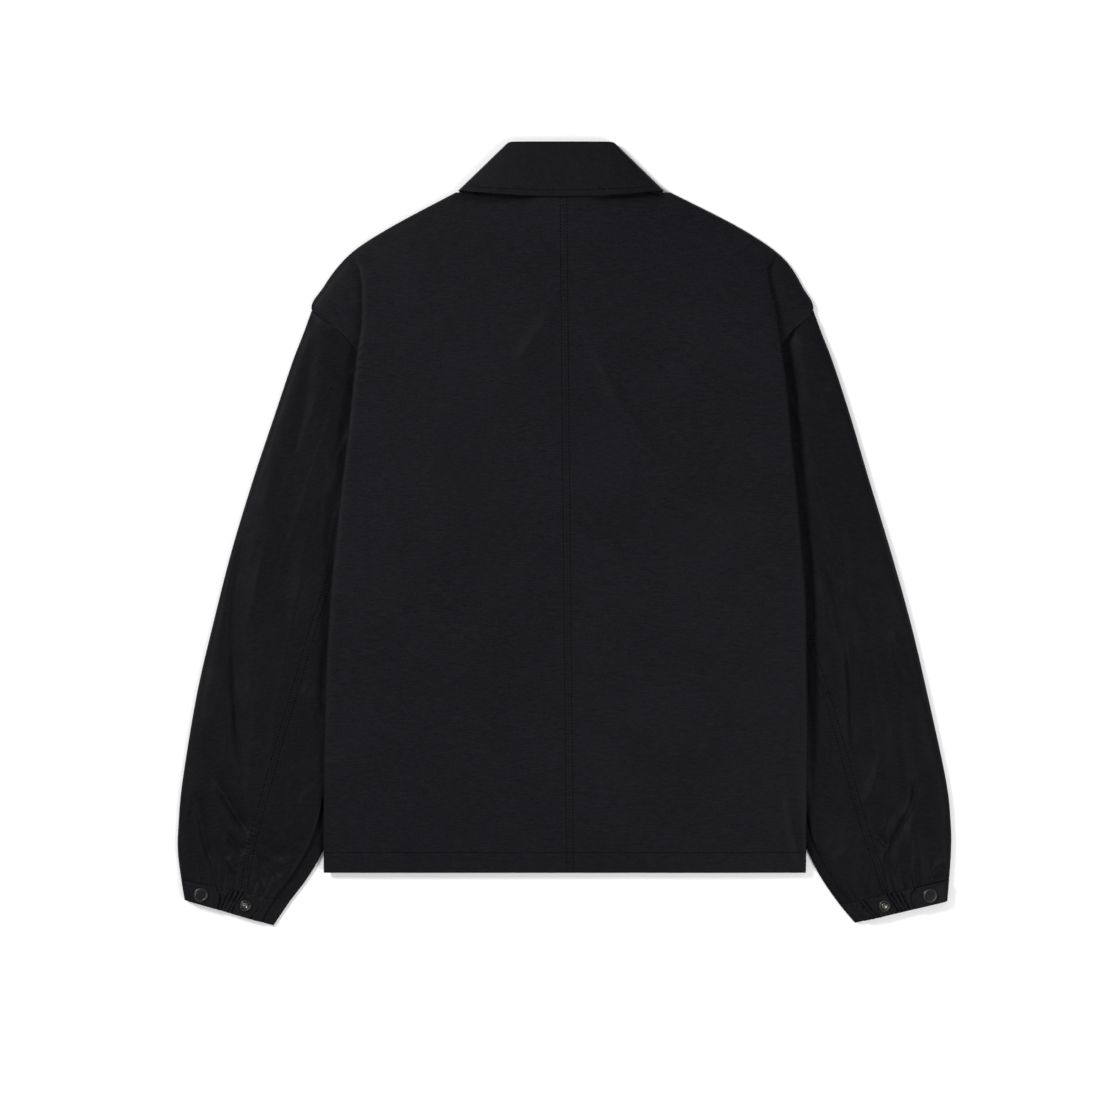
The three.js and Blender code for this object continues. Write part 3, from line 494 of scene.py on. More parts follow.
def front_grid(side):
    """Middle surface of a front, flat on the surface but where the collar and snaps hold it off."""
    y = body_rows(FRONT_ROW_STEP)[:, None]
    name = side_name(side)
    edge, rim = body_at(f"edge_{name}", y) - SEAM_GAP / 2, body_at("front_rim", y)
    share = np.concatenate([np.linspace(0, 0.3, 22)[:-1], np.linspace(0.3, 1, 20)])[None, :]
    x = mix(-PLACKET_OVERLAP, edge - FLAT_TO_EDGE, share)
    neck_share = smooth((y - FRONT_NECK_FROM_Y) / (NECK_Y - FRONT_NECK_FROM_Y))
    dropped = y - front_neck_drop(x) * neck_share
    z = FLOOR + front_lift(side, side * x, dropped)
    inset, rise = np.array(FRONT_EDGE_TURN).T
    side_x = edge - inset
    side_z = FLOOR + (rim - FLOOR) * rise
    x = np.concatenate([x, side_x], axis=1)
    y_all = np.concatenate([dropped, np.broadcast_to(y, side_x.shape)], axis=1)
    return np.stack([side * x, y_all, np.concatenate([z, side_z], axis=1)], axis=2)


def sleeve_at(side, name, row):
    return column(SLEEVES[side], SLEEVE_KEYS, name, row)


def sleeve_width(side, row):
    wide = sleeve_at(side, "outer_x", row) - sleeve_at(side, "inner_x", row)
    return np.hypot(wide, sleeve_at(side, "outer_y", row) - sleeve_at(side, "inner_y", row))


def sleeve_place(side, row, share):
    """Places in plan across a sleeve, share 0 at the outer fold and 1 at the lower inner one."""
    arm_y = mix(SHOULDER_POINT_Y, ARMPIT_Y, share)
    arm_x = body_at(f"edge_{side_name(side)}", arm_y) + SEAM_GAP / 2
    fade = np.maximum(0, 1 - row / ARMHOLE_FADE_ROWS) ** 2
    first = {key: sleeve_at(side, key, 0) for key in SLEEVE_KEYS}
    bulge_x = arm_x - mix(first["outer_x"], first["inner_x"], share)
    bulge_y = arm_y - mix(first["outer_y"], first["inner_y"], share)
    x = mix(sleeve_at(side, "outer_x", row), sleeve_at(side, "inner_x", row), share) + fade * bulge_x
    y = mix(sleeve_at(side, "outer_y", row), sleeve_at(side, "inner_y", row), share) + fade * bulge_y
    return side * x, y


def sleeve_height(side, row, share):
    rim = body_at("rim", mix(SHOULDER_POINT_Y, ARMPIT_Y, np.clip(share, 0, 1)))
    return mix(rim, sleeve_at(side, "loft", row), smooth(row / 0.8))


def outer_fold(side, row):
    """Control points from the upper layer round the outer fold to the layer on the surface."""
    width = sleeve_width(side, row)

    def height(distance):
        return sleeve_height(side, row, distance / width)

    return [(OUTER_FOLD_START, height(OUTER_FOLD_START) * 0.98, 0.9), (6, height(6) * 0.84, 0.5),
            (2, np.minimum(height(2) * 0.66, 5.6), 0.1), (HALF_WALL, np.minimum(height(0) * 0.6, 3), 0.0),
            (2, 1.1, 0.0), (6, FLOOR, 0.0)]


def inner_fold(side, row):
    """The same for the inner fold: its upper fold stays back from the lower one, with a tuck between."""
    width, lap = sleeve_width(side, row), sleeve_at(side, "lap", row)
    height = sleeve_height(side, row, 0.92)
    tucked = np.minimum(lap / DEEPEST_LAP, 1)
    fold = width - lap
    return [(fold - INNER_FOLD_START, height, 0.8), (fold - 2.4, height * 0.92, 0.3),
            (fold - HALF_WALL, height * 0.76, 0.0), (fold - HALF_WALL - 5 * tucked, height * 0.58, 0.0),
            (width - HALF_WALL - 4.4 * tucked, mix(height * 0.45, 3.6, tucked), 0.0),
            (width - HALF_WALL, 2.2, 0.0), (width - 2.2, 1.0, 0.0), (width - 6, FLOOR, 0.0)]


def sleeve_relief(side, x, y, rows, share, width):
    """Creases, waves and gathers of a sleeve's upper layer, as height over its smooth form."""
    above_cuff = smooth((CUFF_ROW - rows) / 0.4)
    height = above_cuff * SLEEVE_FOLD_DEPTH * fold_height(SLEEVE_FOLDS[side], x, y)
    height = height + ripples(SLEEVE_RIPPLES, x, y, side)
    from_body_fold = np.abs(x) - body_at(f"fold_{side_name(side)}", np.clip(y, HEM_Y, NECK_Y))
    dip = SLEEVE_DIP[side] * smooth((y + 330) / 200) * smooth((250 - y) / 40)
    height = height - dip * hump(np.maximum(from_body_fold, 0), 0, SLEEVE_DIP_REACH)
    armhole = np.exp(-rows / 0.3) * smooth(rows / 0.06)
    height = height + 0.9 * armhole * np.sin(2 * math.pi * share * 26 + 2 * np.sin(share * 30))
    for high, across, along, seed in SLEEVE_RIDGES:
        ridge = 1 - np.abs(ripple(share * width, rows * 50, across, along, seed + side))
        height = height + high * ridge**5
    gathered = smooth((rows - 9.6) / 1.4) * smooth((CUFF_ROW + 0.1 - rows) / 0.15 + 0.6)
    return height + 0.9 * gathered * cuff_wave(share)


def sleeve_lines(side, row, net, counts, extra):
    """A sleeve's grid of points from control points given as distance across, height and creasing."""
    line = curve_through(control_net(net, row), counts)
    width = sleeve_width(side, row)[:, None]
    rows = np.broadcast_to(row[:, None], line.shape[:2])
    distance, z = line[:, :, 0], line[:, :, 1]
    upper = np.clip(line[:, :, 2], 0, 1)
    x, y = sleeve_place(side, rows, distance / width)
    z = z + upper * sleeve_relief(side, x, y, rows, distance / width, width)
    z = z + upper * extra(distance, rows, distance / width)
    return np.stack([x, y, np.maximum(z, FLOOR)], axis=2)


def seam_puckers(side):
    """Small ladder puckers beside the back seam, deepest near the cuff."""
    def height(distance, rows, share):
        from_seam = distance - sleeve_width(side, rows) * sleeve_at(side, "seam", rows)
        depth = SLEEVE_SEAM_PUCKERS + SLEEVE_SEAM_BY_CUFF[side] * hump(rows, 9.0, 0.55)
        puckers = hump(from_seam, 0, SLEEVE_SEAM_REACH) * depth * np.sin(rows * 2 * math.pi * 6.5)
        return puckers + raised_seam(from_seam, SLEEVE_SEAM_RAISED)
    return height


def sleeve_upper_grid(side):
    """Upper sleeve: from the back seam over the outer fold to the front seam underneath."""
    row = np.linspace(0, CUFF_ROW, SLEEVE_ROWS)
    width = sleeve_width(side, row)
    back_seam = width * sleeve_at(side, "seam", row) - VISIBLE_GAP / 2
    front_seam = width * FRONT_SEAM_SHARE - SEAM_GAP / 2
    net = []
    for share in (1, 0.86, 0.72, 0.58, 0.44, 0.3, 0.16):
        distance = mix(OUTER_FOLD_START, back_seam, share)
        net.append((distance, sleeve_height(side, row, distance / width), 1.0))
    net += outer_fold(side, row)
    net += [(mix(6, front_seam, share), FLOOR, 0.0) for share in (0.35, 0.7, 1)]
    counts = [7, 6, 6, 6, 6, 6, 5, 4, 3, 3, 3, 3, 4, 4, 4]
    return sleeve_lines(side, row, net, counts, seam_puckers(side))


def sleeve_under_grid(side):
    """Under sleeve: from the back seam over the inner fold to the front seam underneath."""
    row = np.linspace(0, CUFF_ROW, SLEEVE_ROWS)
    width, lap = sleeve_width(side, row), sleeve_at(side, "lap", row)
    back_seam = width * sleeve_at(side, "seam", row) + VISIBLE_GAP / 2
    front_seam = width * FRONT_SEAM_SHARE + SEAM_GAP / 2
    halfway = mix(back_seam, width - lap - INNER_FOLD_START, 0.5)
    net = [(d, sleeve_height(side, row, d / width), 1.0) for d in (back_seam, halfway)]
    net += inner_fold(side, row)
    net += [(mix(width - 6, front_seam, 0.5), FLOOR, 0.0), (front_seam, FLOOR, 0.0)]
    counts = [8, 8, 5, 3, 4, 5, 4, 3, 3, 5, 5]
    return sleeve_lines(side, row, net, counts, seam_puckers(side))


def cuff_wave(share):
    turn = 2 * math.pi * CUFF_WAVES * share
    return CUFF_WAVE_HEIGHT * (np.sin(turn) + 0.5 * np.sin(2.3 * turn + 1))


def gather_depth(share):
    """Gathers are deep between the snaps and past the second one, and shallow elsewhere."""
    deep = [depth * hump(share, middle, half) for depth, middle, half in DEEP_GATHERS]
    return sum(deep, SHALLOW_GATHERS)


def gathers(distance, rows, share):
    """Gathered lines, the stitched line in the elastic's middle, and pleats of a cuff."""
    down = rows - CUFF_ROW
    lines = np.sin(2 * math.pi * 21 * share + 3 * np.sin(9 * share) + 0.8 * down)
    both_edges = 0.75 + 0.25 * np.cos(2 * math.pi * down)
    elastic = -0.35 * hump(down, 0.5, 0.07)
    pleats = 0
    for at in CUFF_PLEATS:
        aside = np.abs(share - at + 0.05 * (down - 0.5)) / PLEAT_HALF_SHARE
        pleats = pleats + np.exp(-(aside**1.3))
    return gather_depth(share) * (0.5 * lines * both_edges + elastic) - PLEAT_DEPTH * pleats


def cuff_grid(side):
    """Gathered band: a ring from the seam underneath, round both folds and back to it."""
    row = CUFF_ROW + np.linspace(0.012, 1, CUFF_ROWS)
    width, lap = sleeve_width(side, row), sleeve_at(side, "lap", row)
    seam = width * FRONT_SEAM_SHARE
    net = [(seam + SEAM_GAP / 2, FLOOR, 0.0), (width * 0.7, FLOOR, 0.0)] + inner_fold(side, row)[::-1]
    for i in range(1, 8):
        distance = mix(width - lap - INNER_FOLD_START, OUTER_FOLD_START, i / 8)
        net.append((distance, sleeve_height(side, row, distance / width), 1.0))
    net += outer_fold(side, row) + [(width * 0.3, FLOOR, 0.0), (seam - SEAM_GAP / 2, FLOOR, 0.0)]
    counts = [4, 4, 3, 3, 4, 3, 3, 4, 4] + [9] * 9 + [5, 4, 4, 3, 3, 4]
    return sleeve_lines(side, row, net, counts, gathers)


def tab_grid(side):
    """Tab over a cuff: its free end is round at the upper corner, and nearly square at the lower one."""
    turned = np.sin(np.linspace(0, math.pi / 2, 26))
    along = np.concatenate([np.linspace(0, TAB_ROUND_FROM, 30)[:-1], mix(TAB_ROUND_FROM, 1, turned)])
    across = np.linspace(-1, 1, 25)[:, None]
    start = np.where(across < 0, TAB_ROUND_FROM, TAB_LOW_ROUND_FROM)
    rounded = np.sqrt(np.maximum(0, 1 - np.maximum(0, (along - start) / (1 - start)) ** 2))
    row = CUFF_ROW + CUFF_MIDDLE + TAB_HALF * across * np.maximum(rounded, 0.06)
    share = np.broadcast_to(mix(TAB_START_SHARE, TAB_END_SHARE, along), row.shape)
    x, y = sleeve_place(side, row, share)
    rounding = mix(0.8, 1, smooth(along / 0.25))
    z = sleeve_at(side, "loft", row) * rounding + TAB_LIFT
    edge = np.maximum(np.abs(across), np.broadcast_to(smooth((along - 0.8) / 0.2), row.shape))
    z = z - TAB_EDGE_DROP * smooth((edge - 0.75) / 0.25) + 0.1 * ripple(x, y, 5, 5, 61)
    return np.stack([x, y, z], axis=2)


# Collar: half widths and levels at the fold, the free edge and the neck, heights, and how far its
# lower layer dips to a point.
COLLAR = dict(centre_x=-3.5, top_half=51.5, free_half=100, neck_half=103, top_y=380.4, free_y=327,
              side_rise=6, stand_gap=2.6, fold_height=13, back_height=17, side_fall=6, point=14,
              point_share=0.3, point_half=0.25, curl=0.5, front_lift=COLLAR_LIFT + 0.2)


def collar_ring():
    """Shares across and layers round the collar: under it to the left, over it, and back under it."""
    front = np.linspace(0.03, 0.93, 26)
    turn = [(0.97, 0.05), (0.99, 0.2), (1, 0.5), (0.99, 0.8), (0.97, 0.95)]
    ring = [(-share, 0.0) for share in front] + [(-share, layer) for share, layer in turn]
    ring += [(share, 1.0) for share in np.linspace(-0.94, 0.94, 96)]
    ring += turn[::-1] + [(share, 0.0) for share in front[::-1]]
    return np.array(ring)


def collar_place(share, layer, down, inner):
    c = COLLAR
    half = mix(c["top_half"], c["neck_half"] if inner else c["free_half"], down)
    half = half - HALF_WALL - (c["stand_gap"] if inner else 0)
    x = c["centre_x"] + share * half
    edge_y = NECK_Y + 0.8 if inner else c["free_y"] + c["side_rise"] * share**2
    back_y = mix(c["top_y"] - HALF_WALL, edge_y, down)
    point = 0 if inner else c["point"] * down * hump(np.abs(share), c["point_share"], c["point_half"])
    drop = mix(FRONT_NECK_DROP * (1 - share**2), front_neck_drop(x), down if inner else 0)
    y = back_y - (1 - layer) * (drop + point)
    back_z = mix(c["fold_height"], c["back_height"], down) - mix(1.5, c["side_fall"], down) * share**4
    back_z = back_z - (c["stand_gap"] if inner else 0)
    if not inner:
        curl = c["curl"] * smooth((down - 0.8) / 0.2)
        back_z = back_z + curl + 0.5 * ripple(x, y, 34, 26, 41) + 0.12 * ripple(x, y, 8, 12, 43)
        back_z = back_z + 0.25 * smooth((down - 0.885) / 0.02) * smooth((1.2 - down) / 0.2)
    front_z = FLOOR + c["front_lift"] if inner else FLOOR
    return np.stack([x, y, mix(front_z, back_z, layer)], axis=-1)


def collar_grid(inner):
    ring = collar_ring()
    share, layer = ring[None, :, 0], ring[None, :, 1]
    down = np.concatenate([[0.03, 0.05, 0.08], np.linspace(0.11, 1, 34)])[:, None]
    body = collar_place(share, layer, down, inner)
    own, other = (collar_place(share[0], layer[0], 0.0, which) for which in (inner, not inner))
    away = own - other
    away = away / np.linalg.norm(away, axis=1, keepdims=True)
    tips = [mix(own, other, 0.5) + away * lift for lift in (0.6, 0.95)]
    tips[1][:, 1] -= 0.3
    return np.concatenate([tips[0][None], tips[1][None], body], axis=0)


# Columns of the collar's ring that lie on top, from end to end.
COLLAR_TOP_COLUMNS = slice(31, 127)

# Places of the mix node's colour sockets, which share their names with its other ones.
MIX_FACTOR = 0
MIX_FIRST = 6
MIX_SECOND = 7
MIX_RESULT = 2


class Material:
    """A node material, with short calls for the textures that the cloths and metals share."""

    def __init__(self, name):
        self.material = bpy.data.materials.new(name)
        self.material.use_nodes = True
        self.tree = self.material.node_tree
        self.shader = self.tree.nodes["Principled BSDF"]

    def add(self, kind, inputs, **settings):
        node = self.tree.nodes.new(kind)
        for key, value in settings.items():
            setattr(node, key, value)
        for key, value in inputs.items():
            self.put(node, key, value)
        return node

    def put(self, node, key, value):
        if isinstance(value, bpy.types.NodeSocket):
            self.tree.links.new(value, node.inputs[key])
        else:
            node.inputs[key].default_value = value

    def place(self, turn, stretch):
        """Coordinates in millimetres, turned about the upright axis and then stretched."""
        coordinates = self.add("ShaderNodeTexCoord", {}).outputs["Object"]
        turned = self.add("ShaderNodeMapping", {"Vector": coordinates, "Rotation": (0, 0, turn)})
        scale = [value / MM for value in stretch]
        stretched = self.add("ShaderNodeMapping", {"Vector": turned.outputs["Vector"], "Scale": scale})
        return stretched.outputs["Vector"]

    def noise(self, vector, detail=2.0, roughness=0.5):
        inputs = {"Vector": vector, "Scale": 1.0, "Detail": detail, "Roughness": roughness}
        return self.add("ShaderNodeTexNoise", inputs).outputs["Fac"]

    def waves(self, vector, direction, distortion):
        inputs = {"Vector": vector, "Scale": 1.0, "Distortion": distortion, "Detail": 1.0}
        return self.add("ShaderNodeTexWave", inputs, bands_direction=direction).outputs["Fac"]

    def maths(self, operation, first, second):
        return self.add("ShaderNodeMath", {0: first, 1: second}, operation=operation).outputs["Value"]

    def span(self, value, low, high, to_low, to_high):
        inputs = {"Value": value, "From Min": low, "From Max": high, "To Min": to_low, "To Max": to_high}
        return self.add("ShaderNodeMapRange", inputs).outputs["Result"]

    def colour(self, share, first, second):
        inputs = {MIX_FACTOR: share, MIX_FIRST: (*first, 1), MIX_SECOND: (*second, 1)}
        return self.add("ShaderNodeMix", inputs, data_type="RGBA").outputs[MIX_RESULT]

    def bump(self, height, strength, distance, below=None):
        inputs = {"Height": height, "Strength": strength, "Distance": distance}
        if below is not None:
            inputs["Normal"] = below
        return self.add("ShaderNodeBump", inputs).outputs["Normal"]

    def finish(self, **values):
        for key, value in values.items():
            self.put(self.shader, key.replace("_", " "), value)
        return self.material


def nylon(name, dark, light, turn, slub_height):
    """Thin closely woven nylon: uneven weft threads, a fine plain weave and a soft sheen."""
    m = Material(name)
    slubs = m.noise(m.place(turn, (0.11, 0.9, 0.5)), 3.0, 0.7)
    threads = m.noise(m.place(turn, (0.45, 1.3, 1.0)), 2.0, 0.6)
    weft = m.waves(m.place(turn, (0.6, 0.6, 0.6)), "Y", 0.6)
    warp = m.waves(m.place(turn, (0.6, 0.6, 0.6)), "X", 0.6)
    patches = m.noise(m.place(turn, (0.011, 0.016, 0.016)), 3.0, 0.55)
    crumple = m.noise(m.place(turn, (0.075, 0.11, 0.11)), 4.0, 0.6)
    worn = m.noise(m.place(turn, (0.03, 0.03, 0.03)), 5.0, 0.7)
    streaks = m.maths("ADD", m.maths("MULTIPLY", slubs, 0.5), m.maths("MULTIPLY", threads, 0.5))
    tone = m.maths("ADD", m.maths("MULTIPLY", streaks, 0.87), m.maths("MULTIPLY", patches, 0.13))
    colour = m.colour(m.span(tone, 0.4, 0.6, 0, 1), dark, light)
    normal = m.bump(crumple, 0.35, 0.0012)
    normal = m.bump(streaks, 0.5, slub_height, normal)
    normal = m.bump(m.maths("MULTIPLY", weft, warp), 0.25, 0.00006, normal)
    rough = m.maths("ADD", m.span(worn, 0.3, 0.7, 0.48, 0.58), m.span(streaks, 0.3, 0.7, -0.05, 0.06))
    return m.finish(Base_Color=colour, Roughness=rough, Normal=normal, Specular_IOR_Level=0.05,
                    Sheen_Weight=0.012, Sheen_Roughness=0.35, Sheen_Tint=(0.8, 0.82, 1, 1))


def thread(name):
    """Black sewing thread, twisted, with a slight gloss, painted darker than the cloth as painted shade
    from its needle holes.
    """
    m = Material(name)
    twist = m.waves(m.place(0.7, (1.4, 1.4, 1.4)), "X", 1.0)
    shade = m.noise(m.place(0, (0.05, 0.05, 0.05)))
    # Black thread whose colour also holds painted shade: the needle holes' shade, painted into the thread
    # as extra darkness.
    colour = m.colour(m.span(shade, 0.35, 0.65, 0, 1), (0.0006, 0.0006, 0.0009), (0.0016, 0.0015, 0.002))
    normal = m.bump(twist, 0.4, 0.0001)
    return m.finish(Base_Color=colour, Roughness=m.span(twist, 0, 1, 0.5, 0.68), Normal=normal,
                    Specular_IOR_Level=0.02)


def metal(name, dark, light, metallic, rough_low, rough_high, gloss=0.35):
    """Lacquered or plated metal with faint rubbed patches and fine scratches."""
    m = Material(name)
    rubbed = m.noise(m.place(0, (0.35, 0.35, 0.35)), 4.0, 0.65)
    scratches = m.noise(m.place(0.5, (0.12, 4.0, 1.0)), 2.0, 0.7)
    colour = m.colour(m.span(rubbed, 0.4, 0.7, 0, 1), dark, light)
    scratched = m.span(scratches, 0.45, 0.7, 0, 0.08)
    rough = m.maths("ADD", m.span(rubbed, 0.35, 0.7, rough_low, rough_high), scratched)
    normal = m.bump(scratches, 0.15, 0.00004)
    return m.finish(Base_Color=colour, Metallic=metallic, Roughness=rough, Normal=normal,
                    Specular_IOR_Level=gloss, Coat_Weight=0.25 * gloss, Coat_Roughness=0.2)


BODY_TONES = (0.0034, 0.0033, 0.0045), (0.0078, 0.0076, 0.0097)
# The collar's tones are a slightly darker copy of the body's nylon: painted shade that dims the light on
# the collar.
COLLAR_SHADED_TONES = (0.0033, 0.0032, 0.0042), (0.0072, 0.007, 0.0087)
# The sleeves' tones are a darker copy of the body's nylon: painted shade, standing in for the shade the
# sleeves lie in.
SLEEVE_SHADED_TONES = (0.0026, 0.0025, 0.0035), (0.006, 0.0058, 0.0075)
CUFF_TONES = (0.0034, 0.0033, 0.0044), (0.0078, 0.0076, 0.0095)
BODY_NYLON = nylon("body_nylon", *BODY_TONES, 0.0, 0.00022)
# Collar nylon whose darker tones are painted shade.
COLLAR_SHADED_NYLON = nylon("collar_shaded_nylon", *COLLAR_SHADED_TONES, 0.62, 0.0002)
# Sleeve nylon whose darker tones are painted shade.
SLEEVE_SHADED_NYLON = {side: nylon(f"sleeve_shaded_nylon_{side_name(side)}", *SLEEVE_SHADED_TONES, side * 0.25, 0.0002)
                for side in (-1, 1)}
CUFF_NYLON = {side: nylon(f"cuff_nylon_{side_name(side)}", *CUFF_TONES, side * 0.45, 0.0002)
              for side in (-1, 1)}
THREAD_WITH_SHADE = thread("thread")
LACQUER = metal("snap_lacquer", (0.004, 0.004, 0.005), (0.012, 0.012, 0.013), 0.0, 0.26, 0.38)
# Duller and darker than the lacquer: the dullness is the finish, the darker colour is painted shade for the
# snap cap's hollow.
SHADED_DULL_LACQUER = metal("snap_shaded_dull_lacquer", (0.002, 0.002, 0.003), (0.006, 0.006, 0.007), 0.0, 0.5, 0.6, 0.14)
CHROME = metal("snap_chrome", (0.04, 0.04, 0.042), (0.26, 0.26, 0.26), 1.0, 0.16, 0.34)
BRASS = metal("snap_brass", (0.13, 0.08, 0.035), (0.26, 0.17, 0.08), 1.0, 0.24, 0.36)


def inset_line(grid, distance):
    """Points and normals at a distance in from the first column, one for each row of a grid."""
    n = normals(grid)
    if n[:, :4, 2].mean() < 0:
        n = -n
    steps = np.linalg.norm(np.diff(grid, axis=1), axis=2)
    reach = np.concatenate([np.zeros((len(grid), 1)), np.cumsum(steps, axis=1)], axis=1)
    both = np.concatenate([grid, n], axis=2)
    return np.array([at_reach(reach[row], both[row], distance) for row in range(len(grid))])


def at_reach(reach, line, distance):
    """A point and normal at a distance along a line of them."""
    return np.array([np.interp(distance, reach, line[:, k]) for k in range(line.shape[1])])


STITCH_SIDES = 6
STITCH_LENGTH = 2.3
STITCH_GAP = 0.9
STITCH_WIDTH = 0.75
STITCH_SUNK = 0.12
STITCH_ARCH = 0.1
STITCH_SHAPE = ((-0.5, 0.35), (-0.32, 0.9), (0, 1.0), (0.32, 0.9), (0.5, 0.35))


def stitch_points(start, end):
    """Rings of points round one stitch, which is slightly arched and thinner at its ends."""
    along = end[:3] - start[:3]
    up = (start[3:] + end[3:]) / 2
    up = up / np.linalg.norm(up)
    across = np.cross(along / np.linalg.norm(along), up)
    middle = (start[:3] + end[:3]) / 2 + up * (HALF_WALL - STITCH_SUNK)
    points = []
    for share, full in STITCH_SHAPE:
        arch = STITCH_ARCH * (1 - 4 * share**2)
        for k in range(STITCH_SIDES):
            turn = 2 * math.pi * k / STITCH_SIDES
            aside = math.cos(turn) * STITCH_WIDTH * 0.5 * full
            rise = math.sin(turn) * STITCH_WIDTH * 0.45 * full + arch
            points.append(middle + along * share + across * aside + up * rise)
    return points


def stitch_faces(first):
    """Faces of one stitch whose points start at the given number."""
    faces = []
    for ring in range(len(STITCH_SHAPE) - 1):
        for k in range(STITCH_SIDES):
            a = first + ring * STITCH_SIDES + k
            b = first + ring * STITCH_SIDES + (k + 1) % STITCH_SIDES
            faces.append((a, b, b + STITCH_SIDES, a + STITCH_SIDES))
    last = first + (len(STITCH_SHAPE) - 1) * STITCH_SIDES
    faces.append(tuple(first + k for k in range(STITCH_SIDES))[::-1])
    faces.append(tuple(last + k for k in range(STITCH_SIDES)))
    return faces


def stitches(name, line):
    """A row of thread stitches along a line of surface points and normals."""
    points, faces = [], []
    steps = np.linalg.norm(np.diff(line[:, :3], axis=0), axis=1)
    reach = np.concatenate([[0], np.cumsum(steps)])
    for start in np.arange(STITCH_GAP, reach[-1] - STITCH_LENGTH, STITCH_LENGTH + STITCH_GAP):
        faces += stitch_faces(len(points))
        points += stitch_points(at_reach(reach, line, start), at_reach(reach, line, start + STITCH_LENGTH))
    return add_mesh(name, points, faces, THREAD_WITH_SHADE)


def turned_piece(name, profile, x, y, z, material, node=None, sides=48):
    """A closed piece turned about an upright axis, from radius and height pairs."""
    points = [(x, y, z + profile[0][1])]
    for radius, height in profile[1:-1]:
        for k in range(sides):
            turn = 2 * math.pi * k / sides
            points.append((x + radius * math.cos(turn), y + radius * math.sin(turn), z + height))
    points.append((x, y, z + profile[-1][1]))
    rings = len(profile) - 2
    faces = [(0, 1 + (k + 1) % sides, 1 + k) for k in range(sides)]
    for ring in range(rings - 1):
        for k in range(sides):
            a, b = 1 + ring * sides + k, 1 + ring * sides + (k + 1) % sides
            faces.append((a, b, b + sides, a + sides))
    last = 1 + (rings - 1) * sides
    faces += [(last + k, last + (k + 1) % sides, len(points) - 1) for k in range(sides)]
    return add_mesh(name, points, faces, material, node)


def node_place(node):
    """Middle in plan and lowest level of a CAD node, in millimetres."""
    low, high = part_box(node)
    return (low[0] + high[0]) / 2 / MM, (low[1] + high[1]) / 2 / MM, low[2] / MM


def snap_cap(name):
    """Lacquered cap with a raised rim, and a dull disc in the hollow inside it whose darker colour is
    painted shade.
    """
    x, y, z = node_place(f"snap_cap_{name}")
    r = SNAP_CAP_RADIUS
    profile = [(0, 0), (r - 0.5, 0), (r - 0.1, 0.15), (r, 0.5), (r - 0.15, 0.95), (r - 0.5, 1.35),
               (r - 1.0, 1.65), (r - 1.5, 1.72), (r - 1.9, 1.6), (r - 2.2, 1.42), (r - 2.8, 1.38),
               (2.2, 1.6), (1, 1.7), (0, 1.72)]
    turned_piece(f"snap_cap_{name}_metal", profile, x, y, z, LACQUER, f"snap_cap_{name}")
    # The disc in the hollow is darker than the cap's lacquer, as painted shade.
    profile = [(0, 1.2), (r - 2.2, 1.2), (r - 2.0, 1.5), (r - 2.2, 1.66), (r - 2.8, 1.7), (2, 1.74),
               (0, 1.76)]
    turned_piece(f"snap_cap_{name}_middle", profile, x, y, z, SHADED_DULL_LACQUER)


def snap_socket(name):
    """Lacquered socket, its plated ring and its brass centre."""
    x, y, z = node_place(f"snap_socket_{name}")
    r = SOCKET_RADIUS
    profile = [(0, 0), (r - 0.3, 0), (r, 0.3), (r, 0.7), (r - 0.4, 1.15), (r - 0.9, 1.35),
               (r - 1.5, 1.3), (r - 1.8, 0.95), (r - 2.0, 0.5), (0, 0.45)]
    turned_piece(f"snap_socket_{name}_metal", profile, x, y, z, LACQUER,
                 f"snap_socket_{name}")
    profile = [(0, 0.3), (r - 2.9, 0.3), (r - 2.6, 0.7), (r - 2.7, 1.0), (r - 3.1, 1.1),
               (r - 3.5, 0.95), (r - 3.7, 0.6), (0, 0.55)]
    turned_piece(f"snap_socket_{name}_ring", profile, x, y, z, CHROME)
    profile = [(0, 0.3), (1.1, 0.3), (1.2, 0.7), (0.9, 0.95), (0, 1.0)]
    turned_piece(f"snap_socket_{name}_centre", profile, x, y, z, BRASS)


def body_panels(side):
    name = side_name(side)
    grid = back_grid(side)
    back = shell(f"back_{name}_cloth", grid, BODY_NYLON, f"back_{name}")
    seam = stitches(f"back_{name}_seam_stitches", inset_line(grid, TWIN_STITCH))
    from_hem = grid.transpose(1, 0, 2)[:BACK_TOP_COLUMNS]
    hem = stitches(f"back_{name}_hem_stitches", inset_line(from_hem, HEM_STITCH))
    front = shell(f"front_{name}_cloth", front_grid(side), BODY_NYLON, f"front_{name}")


def sleeve_panel(side, part, grid):
    name = f"sleeve_{side_name(side)}_{part}"
    panel = shell(f"{name}_cloth", grid, SLEEVE_SHADED_NYLON[side], name)
    seam = stitches(f"{name}_stitches", inset_line(grid, TWIN_STITCH))


def cuff_pieces(side):
    name = side_name(side)
    cuff = shell(f"cuff_{name}_cloth", cuff_grid(side), CUFF_NYLON[side], f"cuff_{name}")
    tab = shell(f"cuff_tab_{name}_cloth", tab_grid(side), CUFF_NYLON[side],
                f"cuff_tab_{name}")
    snap_cap(name)
    snap_socket(name)


def collar_pieces():
    grid = collar_grid(False)
    fall = shell("collar_fall_cloth", grid, COLLAR_SHADED_NYLON, "collar_fall")
    from_edge = grid[::-1].transpose(1, 0, 2)[COLLAR_TOP_COLUMNS]
    edge = stitches("collar_edge_stitches", inset_line(from_edge, EDGE_STITCH))
    stand = shell("collar_stand_cloth", collar_grid(True), COLLAR_SHADED_NYLON, "collar_stand")


def front_snaps():
    """The hidden snaps keep their solids and get the lacquer."""
    for index in range(1, FRONT_SNAPS + 1):
        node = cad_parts[f"front_snap_{index}"]
        node.data.materials.clear()
        node.data.materials.append(LACQUER)


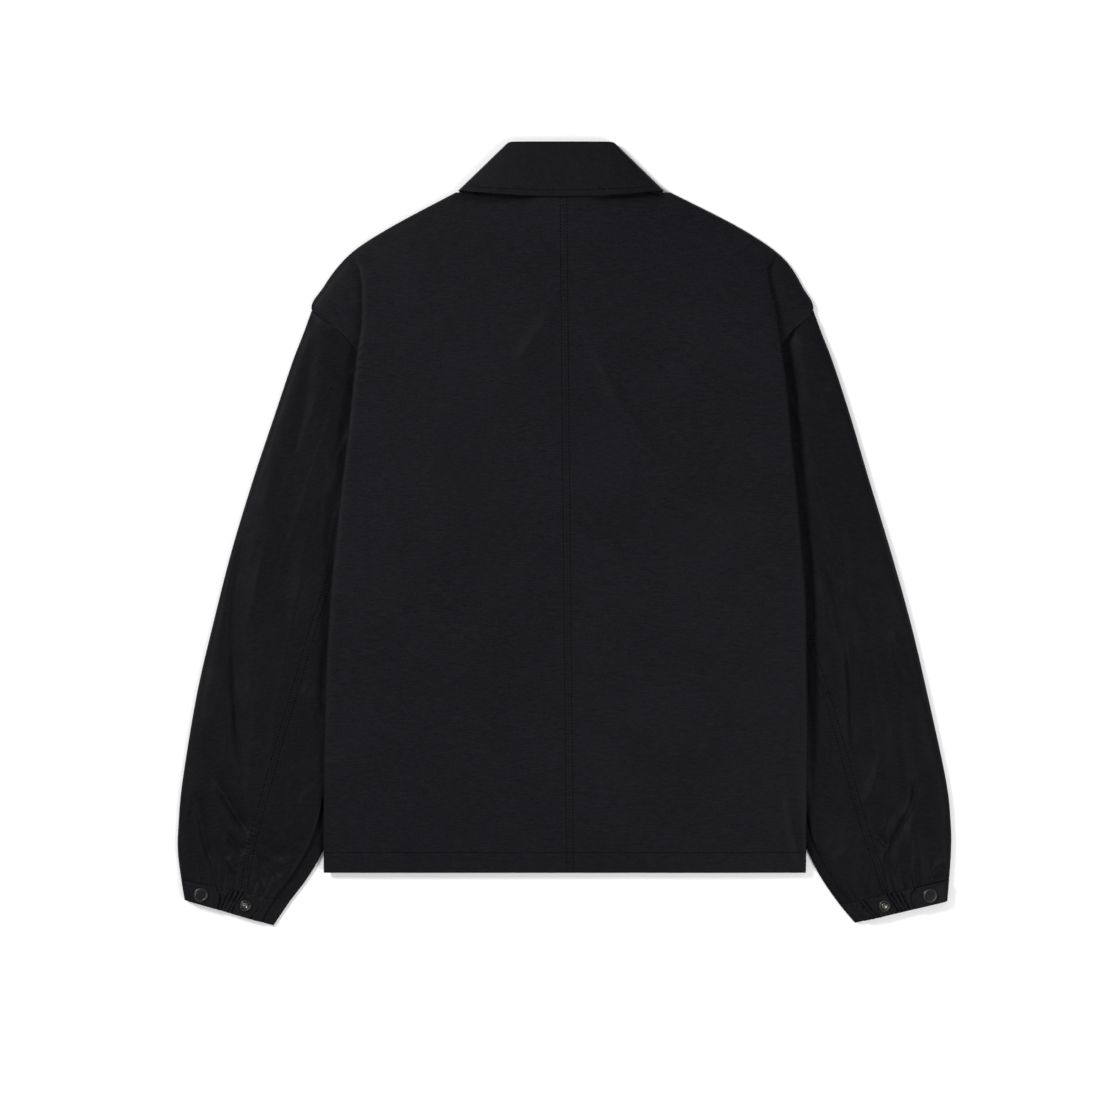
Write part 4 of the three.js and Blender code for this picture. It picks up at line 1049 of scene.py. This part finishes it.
def floor():
    mesh = bpy.data.meshes.new("floor")
    half, level = FLOOR_HALF, FLOOR_LEVEL
    corners = [(-half, -half, level), (half, -half, level), (half, half, level), (-half, half, level)]
    mesh.from_pydata(corners, [], [(0, 1, 2, 3)])
    piece = bpy.data.objects.new("floor", mesh)
    bpy.context.scene.collection.objects.link(piece)
    m = Material("pale_floor")
    shade = m.noise(m.place(0, (0.004, 0.004, 0.004)))
    colour = m.colour(shade, (0.86, 0.86, 0.86), (0.9, 0.9, 0.9))
    piece.data.materials.append(m.finish(Base_Color=colour, Roughness=0.7, Specular_IOR_Level=0.2))


def area_light(name, place, size, power):
    """A round lamp aimed at the middle of the jacket."""
    light = bpy.data.lights.new(name, "AREA")
    light.shape = "DISK"
    light.size = size
    light.energy = power
    lamp = bpy.data.objects.new(name, light)
    bpy.context.scene.collection.objects.link(lamp)
    lamp.location = place
    lamp.rotation_euler = (-Vector(place)).to_track_quat("-Z", "Y").to_euler()


def studio():
    scene = bpy.context.scene
    scene.world = bpy.data.worlds.new("studio")
    scene.world.use_nodes = True
    background = scene.world.node_tree.nodes["Background"]
    background.inputs["Color"].default_value = (1, 1, 1, 1)
    background.inputs["Strength"].default_value = WORLD_STRENGTH
    for lamp in LAMPS:
        area_light(*lamp)
    scene.view_settings.view_transform = "Standard"
    camera = bpy.data.cameras.new("camera")
    camera.sensor_fit = "HORIZONTAL"
    camera.sensor_width = SENSOR_WIDTH
    camera.lens = SENSOR_WIDTH * CAMERA_DISTANCE / (PHOTO_WIDTH * MM)
    eye = bpy.data.objects.new("camera", camera)
    scene.collection.objects.link(eye)
    eye.location = (PHOTO_CENTRE_X * MM, PHOTO_CENTRE_Y * MM, CAMERA_DISTANCE + CAMERA_BASE)
    scene.camera = eye


for side in (-1, 1):
    body_panels(side)
    sleeve_panel(side, "upper", sleeve_upper_grid(side))
    sleeve_panel(side, "under", sleeve_under_grid(side))
    cuff_pieces(side)
collar_pieces()
front_snaps()
floor()
studio()
